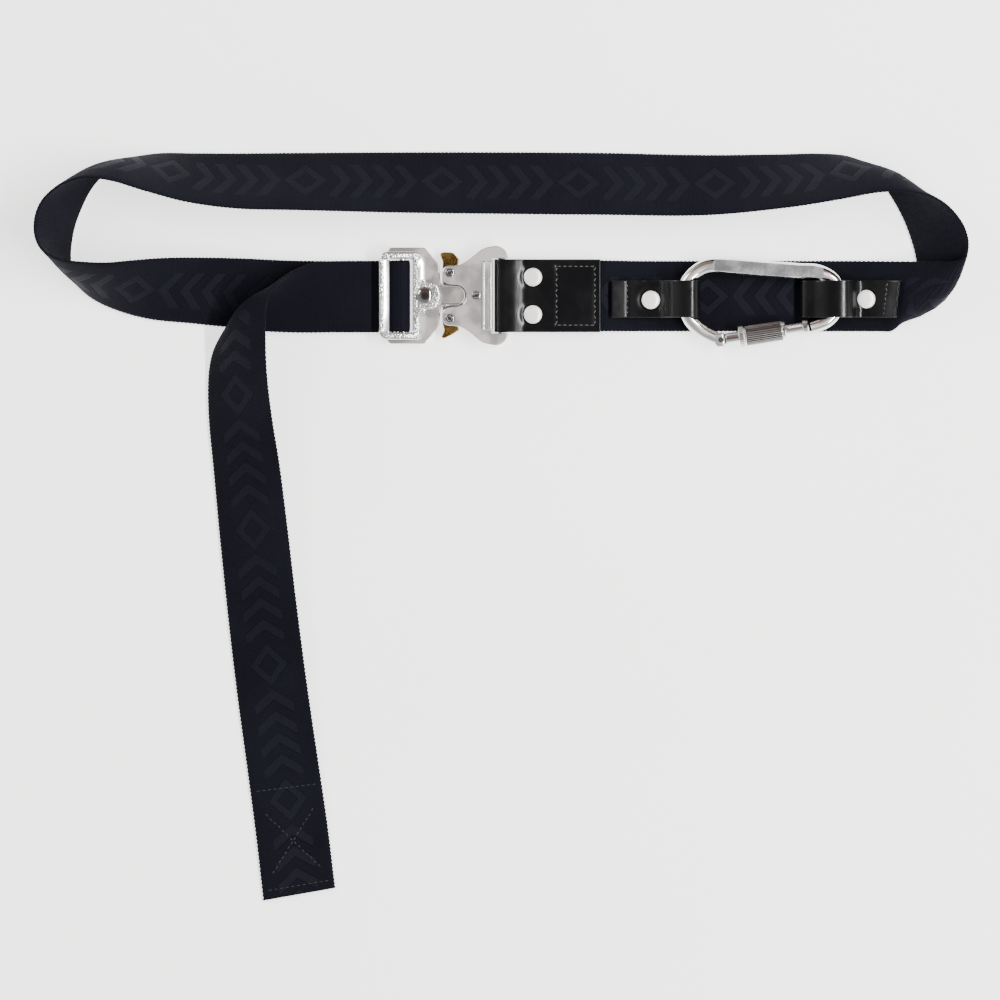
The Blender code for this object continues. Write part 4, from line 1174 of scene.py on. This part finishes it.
def make_fixed_plate():
    upper = fixed_half_outline()
    outline = upper + mirrored(upper)[1:] + [(-4.4, -19.9), (-4.4, 19.9)]
    obj = plate("fixed_plate", (outline,), *FIXED_PLATE_LEVELS, 0.55, 3)
    bend = oblong(-10.3, -4.5, 18.4, 1.0, 0.6, 4)
    combine(obj, plate("bend", (bend,), 7.6, 9.55, 0.5, 3), "UNION")
    for left, right in ((-10.15, -8.3), (-6.7, -4.6)):
        rib = oblong(left, right, 18.1, 0.9, 0.9, 5)
        combine(obj, plate("rib", (rib,), 7.8, 10.05, 0.85, 4), "UNION")
    for x, y in (BUCKLE_PIVOT, (BUCKLE_PIVOT[0], -BUCKLE_PIVOT[1]), MIDDLE_SCREW):
        recess = turned("recess", ((8.45, 0.0), (8.45, 2.75), (10.5, 2.75), (10.5, 0.0)), (x, y, 0.0))
        combine(obj, recess, "DIFFERENCE")
    clean(obj)
    smooth(obj)
    finish_piece(obj, looks()["satin_plate"], "root", "satin_nickel", "female_top")
    edge_look(obj, looks()["polished_nickel"])
    dress_node("female_bottom", looks()["satin_plate"])


def lever_outline(horn):
    """A lever's outline on the upper side: its arm inside the buckle and the rows of its horn outside."""
    x, y = BUCKLE_PIVOT
    arm = (
        (x - 3.7, 14.6, 1.0),
        (x - 3.7, y - 2.2, 2.0),
        (x + 0.4, y - 4.4, 2.5),
        (x + 9.4, y - 4.9, 0.8),
        (x + 9.4, y - 2.0, 0.8),
        (x + 4.6, y + 0.8, 1.5),
        (x + 3.9, 15.6, 1.0),
    )
    return rounded(arm + horn, 5)


def make_levers():
    upper = (
        (-22.4, 17.2, 0.6),
        (-22.0, 19.4, 1.4),
        (-25.4, 22.9, 2.4),
        (-30.2, 23.0, 1.0),
        (-32.3, 22.2, 0.6),
        (-30.7, 18.0, 1.2),
    )
    lower = (
        (-22.4, 16.8, 0.6),
        (-21.9, 18.0, 0.7),
        (-26.0, 20.7, 2.0),
        (-30.1, 22.6, 0.9),
        (-31.6, 21.8, 0.6),
        (-29.9, 18.0, 1.2),
    )
    for name, node_name, body, side in (
        ("upper_lever_brass", "lever_upper", "upper_lever", lever_outline(upper)),
        ("lower_lever_brass", "lever_lower", "lower_lever", mirrored(lever_outline(lower))),
    ):
        obj = plate(name, (side,), *LEVER_LEVELS, 0.55, 3)
        smooth(obj)
        finish_piece(obj, looks()["worn_brass"], body, "brass", node_name)


def make_screws():
    heads = (
        ("upper_screw", "screw_upper", BUCKLE_PIVOT[0], BUCKLE_PIVOT[1], 35),
        ("lower_screw", "screw_lower", BUCKLE_PIVOT[0], -BUCKLE_PIVOT[1], -50),
        ("middle_screw", "screw_middle", MIDDLE_SCREW[0], MIDDLE_SCREW[1], 15),
    )
    for name, node_name, x, y, angle in heads:
        profile = [(0.6, 0.0), (0.6, 1.45), (8.5, 1.45)] + rim(8.5, 9.25, 2.35, 0.3)[1:-1]
        profile += [(9.25, 1.35), (9.05, 1.2), (9.05, 0.0)]
        obj = turned(name, profile, (x, y, 0.0), steps=40)
        bpy.ops.object.select_all(action="DESELECT")
        bpy.ops.mesh.primitive_cube_add(size=MM, location=Vector((x, y, 9.2)) * MM + DRAWING)
        slot = bpy.context.object
        slot.rotation_euler.z = math.radians(angle)
        slot.scale = (3.6, 0.6, 0.8)
        bpy.ops.object.transform_apply(location=True, rotation=True, scale=True)
        combine(obj, slot, "DIFFERENCE")
        smooth(obj)
        finish_piece(obj, looks()["bright_chrome"], "root", "chrome", node_name)


def make_rivets():
    caps = (
        ("tab_cap_upper", "tab_rivet_upper", *TAB_RIVETS[0], 0.8, 6.2),
        ("tab_cap_lower", "tab_rivet_lower", *TAB_RIVETS[1], 0.8, 6.2),
        ("left_loop_cap", "loop_rivet_left", *LEFT_LOOP_RIVET, 2.8, 5.55),
        ("right_loop_cap", "loop_rivet_right", *RIGHT_LOOP_RIVET, 4.2, 6.95),
    )
    for name, node_name, x, y, foot, seat in caps:
        profile = [(foot, 0.0), (foot, 1.85), (seat + 0.1, 1.85), (seat + 0.1, 4.3)]
        for k in range(13):
            a = math.pi / 2 * k / 12
            radius = 4.8 * math.cos(a) ** 0.55 if k < 12 else 0.0
            profile.append((seat + 0.35 + 1.1 * math.sin(a) ** 1.3, radius))
        obj = turned(name, profile, (x, y, 0.0), steps=64)
        smooth(obj, 60.0, weighted=False)
        finish_piece(obj, looks()["rivet_cap"], "root", "chrome", node_name)
    x, y = FRAME_RIVET
    profile = [(3.2, 0.0), (3.2, 1.9), (9.7, 1.9), (9.7, 4.2)]
    for k in range(17):
        a = math.pi / 2 * k / 16
        profile.append((9.85 + 1.85 * math.sin(a), 4.6 * math.cos(a) if k < 16 else 0.0))
    obj = turned("frame_dome", profile, (x, y, 0.0), steps=72)
    smooth(obj, 60.0, weighted=False)
    # The dome gets the darkened chrome: a painted dark reflection.
    finish_piece(obj, looks()["shade_darkened_chrome"], "root", "chrome", "frame_rivet")


# Carabiner


def gate_axis():
    return (math.cos(GATE_TILT), math.sin(GATE_TILT), 0.0)


def gate_outline(corners):
    """Rounds an outline given along and across the gate, and turns it into the drawing's axes."""
    c, k = math.cos(GATE_TILT), math.sin(GATE_TILT)
    return [(HINGE[0] + u * c - v * k, HINGE[1] + u * k + v * c) for u, v in rounded(corners, 5)]


def make_carabiner():
    rows = np.array([row[1:] for row in CARABINER_BAR])
    gaps = np.linalg.norm(np.diff(rows[:, :2], axis=0), axis=1)
    at = np.concatenate([[0.0], np.cumsum(gaps)])
    dense = through(rows, at, np.linspace(0.0, at[-1], 150))
    curve = bpy.data.curves.new("carabiner_bar", "CURVE")
    curve.dimensions = "3D"
    curve.bevel_depth = MM
    curve.bevel_resolution = 10
    curve.use_fill_caps = True
    line = curve.splines.new("POLY")
    line.points.add(len(dense) - 1)
    for point, (x, y, radius) in zip(line.points, dense):
        point.co = (x * MM, y * MM, CARABINER_Z * MM, 1.0)
        point.radius = radius
    obj = link("carabiner_bar", curve)
    activate(obj)
    bpy.ops.object.convert(target="MESH")
    obj = bpy.context.object
    obj.data.transform(Matrix.Translation(DRAWING))
    clean(obj)
    low, high = CARABINER_Z - 3.75, CARABINER_Z + 3.75
    block = gate_outline(((-3.6, -3.7, 2.6), (2.1, -3.9, 1.3), (2.1, 3.9, 1.3), (-3.6, 3.7, 2.6)))
    combine(obj, plate("knuckle", (block,), low, high, 1.3, 5), "UNION")
    fork = gate_outline(((-4.4, -6.0, 0.5), (9.0, -6.0, 0.5), (9.0, 6.0, 0.5), (-4.4, 6.0, 0.5)))
    combine(obj, plate("fork", (fork,), 6.3, 9.9, 0.1, 1), "DIFFERENCE")
    x, y, tilt, rise = PLAQUE
    bpy.ops.object.select_all(action="DESELECT")
    spine = Vector((x, y, CARABINER_Z + rise + 2.5)) * MM + DRAWING
    bpy.ops.mesh.primitive_cube_add(size=MM, location=spine)
    mill = bpy.context.object
    mill.rotation_euler.z = math.radians(tilt)
    mill.scale = (66.0, 14.0, 5.0)
    for v in mill.data.vertices:
        if v.co.z < 0:
            v.co.x *= 0.86
    bpy.ops.object.transform_apply(location=True, rotation=True, scale=True)
    combine(obj, mill, "DIFFERENCE")
    clean(obj)
    obj.data.materials.append(looks()["polished_bar"])
    obj.data.materials.append(looks()["milled_aluminium"])
    obj.data.materials.append(looks()["satin_plate"])
    top = (CARABINER_Z + rise) * MM + DRAWING.z
    for face in obj.data.polygons:
        if face.normal.z > 0.99:
            face.material_index = 1 if abs(face.center.z - top) < 0.0001 else 2
    smooth(obj, 32.0)
    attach(obj, "root")
    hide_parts("carabiner_body")
    dress_node("gate_pin", looks()["bright_chrome"])


def make_gate():
    profile = [(2.6, 0.0), (2.6, 2.6), (2.75, 2.85), (3.1, 3.0)]
    profile += [(7.6, 3.0), (7.8, 2.8), (8.2, 2.8), (8.4, 3.0), (35.5, 3.0)]
    along = 35.8
    while along < 42.6:
        profile += [(along, 2.72), (along + 0.28, 2.72), (along + 0.42, 3.0), (along + 0.6, 3.0)]
        along += 0.84
    profile += [(43.3, 2.8), (43.4, 3.5), (43.8, 4.0), (46.2, 4.0), (46.8, 3.4), (46.8, 0.0)]
    obj = turned("gate_rod", profile, (*HINGE, CARABINER_Z), gate_axis(), 40)
    tang = turned("tang", rim(6.6, 9.6, 3.9, 0.4), (*HINGE, 0.0), steps=40)
    combine(obj, tang, "UNION")
    bore = turned("bore", ((2.0, 0.0), (2.0, 1.65), (14.0, 1.65), (14.0, 0.0)), (*HINGE, 0.0), steps=32)
    combine(obj, bore, "DIFFERENCE")
    clean(obj)
    smooth(obj, 32.0)
    finish_piece(obj, looks()["polished_bar"], "root", "polished_aluminium", "carabiner_gate")


def make_sleeve():
    start, end = SLEEVE_START, SLEEVE_END
    fluted_from, fluted_to = start + 3.7, end - 2.1
    profile = [
        (start, 3.3),
        (start, 5.7),
        (start + 0.3, 6.0),
        (start + 2.6, 6.0),
        (start + 2.9, 5.7),
        (start + 2.9, 4.9),
        (start + 3.5, 4.9),
        (start + 3.6, 5.2),
        (start + 3.8, 5.3),
        (end - 2.2, 5.3),
        (end - 2.0, 5.2),
        (end - 1.9, 4.9),
        (end - 1.5, 4.9),
        (end - 1.4, 5.1),
        (end - 0.4, 5.1),
        (end, 4.7),
        (end, 3.3),
    ]
    flutes = sizes().flutes
    obj = turned("knurled_sleeve", profile, (*HINGE, CARABINER_Z), gate_axis(), flutes * 6, closed=True)
    origin = Vector((*HINGE, CARABINER_Z)) * MM + DRAWING
    along = Vector(gate_axis())
    for v in obj.data.vertices:
        offset = v.co - origin
        distance = offset.dot(along)
        spoke = offset - along * distance
        radius = spoke.length / MM
        knurled = radius > 5.25 and fluted_from < distance / MM < fluted_to
        notched = radius > 5.95
        if knurled or notched:
            turn = math.atan2(spoke.z, spoke.x * -along.y + spoke.y * along.x)
            wave = 0.5 - 0.5 * math.cos(flutes * turn)
            v.co -= spoke.normalized() * (0.34 if knurled else 0.2) * wave * MM
    clean(obj)
    smooth(obj, 32.0)
    finish_piece(obj, looks()["polished_bar"], "sleeve", "polished_aluminium", "gate_sleeve")
    # The fluted band gets the darkened chrome: painted shade in the knurling.
    obj.data.materials.append(looks()["shade_darkened_chrome"])
    for face in obj.data.polygons:
        distance = (face.center - origin).dot(along) / MM
        face.material_index = int(fluted_from < distance < fluted_to)


# Tail


def make_tail_stitching(strap):
    """Two rows across the turned-over end of the tail, with a cross between them."""
    near, far, inset = 0.0045, 0.0565, 0.07
    lines = (
        ((near, inset), (near, 1 - inset)),
        ((far, inset), (far, 1 - inset)),
        ((near + 0.008, 0.16), (far - 0.012, 0.84)),
        ((near + 0.008, 0.84), (far - 0.012, 0.16)),
    )
    rows = []
    for (distance_a, share_a), (distance_b, share_b) in lines:
        length = math.hypot(distance_b - distance_a, (share_b - share_a) * WEB_WIDTH)
        count = int(length / 0.0029)
        for k in range(count):
            t = (k + 0.5) / count
            distance = distance_a + (distance_b - distance_a) * t
            point, along, across, out = strap.place(distance, share_a + (share_b - share_a) * t)
            run = -along * (distance_b - distance_a) + across * (share_b - share_a) * WEB_WIDTH
            lift = WEB_THICK / 2 - 0.00008 + (PLY_RISE if distance < PLY_FROM_END else 0.0)
            rows.append((point + out * lift, run, out))
    stitches("tail_stitching", rows, looks()["webbing_thread"])


# Stage


def area_light(name, location, length, height, power):
    """A white light with a length and a height, turned to the middle of the belt."""
    data = bpy.data.lights.new(name, "AREA")
    data.shape = "RECTANGLE"
    data.size = length
    data.size_y = height
    data.energy = power
    obj = link(name, data)
    obj.location = location
    aim = Vector((0.0, 0.03, 0.0)) - Vector(location)
    obj.rotation_euler = aim.to_track_quat("-Z", "Y").to_euler()


def make_stage():
    distance = 8.0
    width_shown = PIXEL * PICTURE_WIDTH * MM
    camera_data = bpy.data.cameras.new("camera")
    camera_data.sensor_width = 36.0
    camera_data.lens = 36.0 * distance / width_shown
    camera_data.clip_start = 0.05
    camera_data.clip_end = 50.0
    camera = link("camera", camera_data)
    centre_x = (PICTURE_MIDDLE[0] - DRAWING_START[0]) * PIXEL * MM + DRAWING.x
    centre_y = (DRAWING_START[1] - PICTURE_MIDDLE[1]) * PIXEL * MM + DRAWING.y
    camera.location = (centre_x, centre_y, distance)
    bpy.context.scene.camera = camera
    bpy.ops.object.select_all(action="DESELECT")
    bpy.ops.mesh.primitive_plane_add(size=12.0, location=(0.0, 0.0, -0.0001))
    floor = bpy.context.object
    floor.name = "floor"
    look, tree, shader, place = new_look("floor")
    soft = noise_of(tree, place, 6.0, 3.0)
    base = shade(colours().floor, 1.0)
    colour = mixed(tree, between(tree, soft, 0.3, 0.7), base, shade(base, 0.975))
    tree.links.new(colour, shader.inputs["Base Color"])
    shader.inputs["Roughness"].default_value = 0.9
    tree.links.new(colour, shader.inputs["Emission Color"])
    shader.inputs["Emission Strength"].default_value = 1.7
    floor.data.materials.append(look)
    make_studio_light()


def make_studio_light():
    """A pale room that is darker straight overhead, and one long soft light on the right."""
    world = bpy.data.worlds.new("studio")
    world.use_nodes = True
    tree = world.node_tree
    direction = node(tree, "ShaderNodeTexCoord").outputs["Generated"]
    split = node(tree, "ShaderNodeSeparateXYZ", {"Vector": direction})
    upwards = split.outputs["Z"]
    above_rim = between(tree, upwards, 0.22, 0.45)
    overhead = between(tree, upwards, 0.84, 0.97)
    far_side = between(tree, split.outputs["Y"], 0.12, 0.35)
    under_top = between(tree, upwards, 0.98, 0.9)
    far_wall = times(tree, far_side, times(tree, above_rim, under_top))
    glow = mixed(tree, above_rim, (2.1, 2.1, 2.1, 1.0), (0.6, 0.6, 0.61, 1.0))
    glow = mixed(tree, overhead, glow, (0.12, 0.12, 0.13, 1.0))
    glow = mixed(tree, far_wall, glow, (0.3, 0.21, 0.17, 1.0))
    background = tree.nodes["Background"]
    tree.links.new(glow, background.inputs["Color"])
    background.inputs["Strength"].default_value = 1.0
    bpy.context.scene.world = world
    area_light("right_strip", (0.93, 0.03, 1.33), 2.0, 0.1, 64.0)
    area_light("left_soft", (-1.3, 0.9, 0.95), 0.8, 0.8, 20.0)


# Operators


class BeltOperator:
    bl_options = {"REGISTER", "UNDO"}


class BELT_OT_stage(BeltOperator, bpy.types.Operator):
    """Adds the camera, the floor and the studio lights."""

    bl_idname = "belt.stage"
    bl_label = "Stage"

    def execute(self, context):
        make_stage()
        return {"FINISHED"}


class BELT_OT_webbing(BeltOperator, bpy.types.Operator):
    """Weaves the webbing along the belt and sews the end of its tail."""

    bl_idname = "belt.webbing"
    bl_label = "Webbing"

    def execute(self, context):
        strap = make_webbing()
        make_tail_stitching(strap)
        return {"FINISHED"}


class BELT_OT_leather(BeltOperator, bpy.types.Operator):
    """Folds and sews the leather tab and the two strips that hold the carabiner."""

    bl_idname = "belt.leather"
    bl_label = "Leather"

    def execute(self, context):
        make_tab()
        make_left_loop()
        make_right_loop()
        return {"FINISHED"}


class BELT_OT_buckle(BeltOperator, bpy.types.Operator):
    """Builds the cast frame, the two plates and the brass levers of the buckle."""

    bl_idname = "belt.buckle"
    bl_label = "Buckle"

    def execute(self, context):
        make_cast_frame()
        make_tongue_plate()
        make_fixed_plate()
        make_levers()
        return {"FINISHED"}


class BELT_OT_fasteners(BeltOperator, bpy.types.Operator):
    """Turns the screws and rivets."""

    bl_idname = "belt.fasteners"
    bl_label = "Screws and rivets"

    def execute(self, context):
        make_screws()
        make_rivets()
        return {"FINISHED"}


class BELT_OT_carabiner(BeltOperator, bpy.types.Operator):
    """Bends the carabiner's bar and fits its gate and sleeve."""

    bl_idname = "belt.carabiner"
    bl_label = "Carabiner"

    def execute(self, context):
        make_carabiner()
        make_gate()
        make_sleeve()
        return {"FINISHED"}


OPERATORS = (
    BELT_OT_stage,
    BELT_OT_webbing,
    BELT_OT_leather,
    BELT_OT_buckle,
    BELT_OT_fasteners,
    BELT_OT_carabiner,
)


class BELT_PT_panel(bpy.types.Panel):
    """Lists the belt's sizes, colours and steps."""

    bl_label = "Webbing Belt"
    bl_idname = "BELT_PT_panel"
    bl_space_type = "VIEW_3D"
    bl_region_type = "UI"
    bl_category = "Belt"

    def draw(self, context):
        for settings in (context.scene.belt_sizes, context.scene.belt_colours):
            for key in settings.__annotations__:
                self.layout.prop(settings, key)
        for operator in OPERATORS:
            self.layout.operator(operator.bl_idname)


CLASSES = (BeltSizes, BeltColours, *OPERATORS, BELT_PT_panel)


def register():
    for item in CLASSES:
        bpy.utils.register_class(item)
    bpy.types.Scene.belt_sizes = PointerProperty(type=BeltSizes)
    bpy.types.Scene.belt_colours = PointerProperty(type=BeltColours)


def unregister():
    del bpy.types.Scene.belt_colours
    del bpy.types.Scene.belt_sizes
    for item in reversed(CLASSES):
        bpy.utils.unregister_class(item)


def main():
    register()
    bpy.ops.belt.stage()
    bpy.ops.belt.webbing()
    bpy.ops.belt.leather()
    bpy.ops.belt.buckle()
    bpy.ops.belt.fasteners()
    bpy.ops.belt.carabiner()


if __name__ == "__main__":
    main()
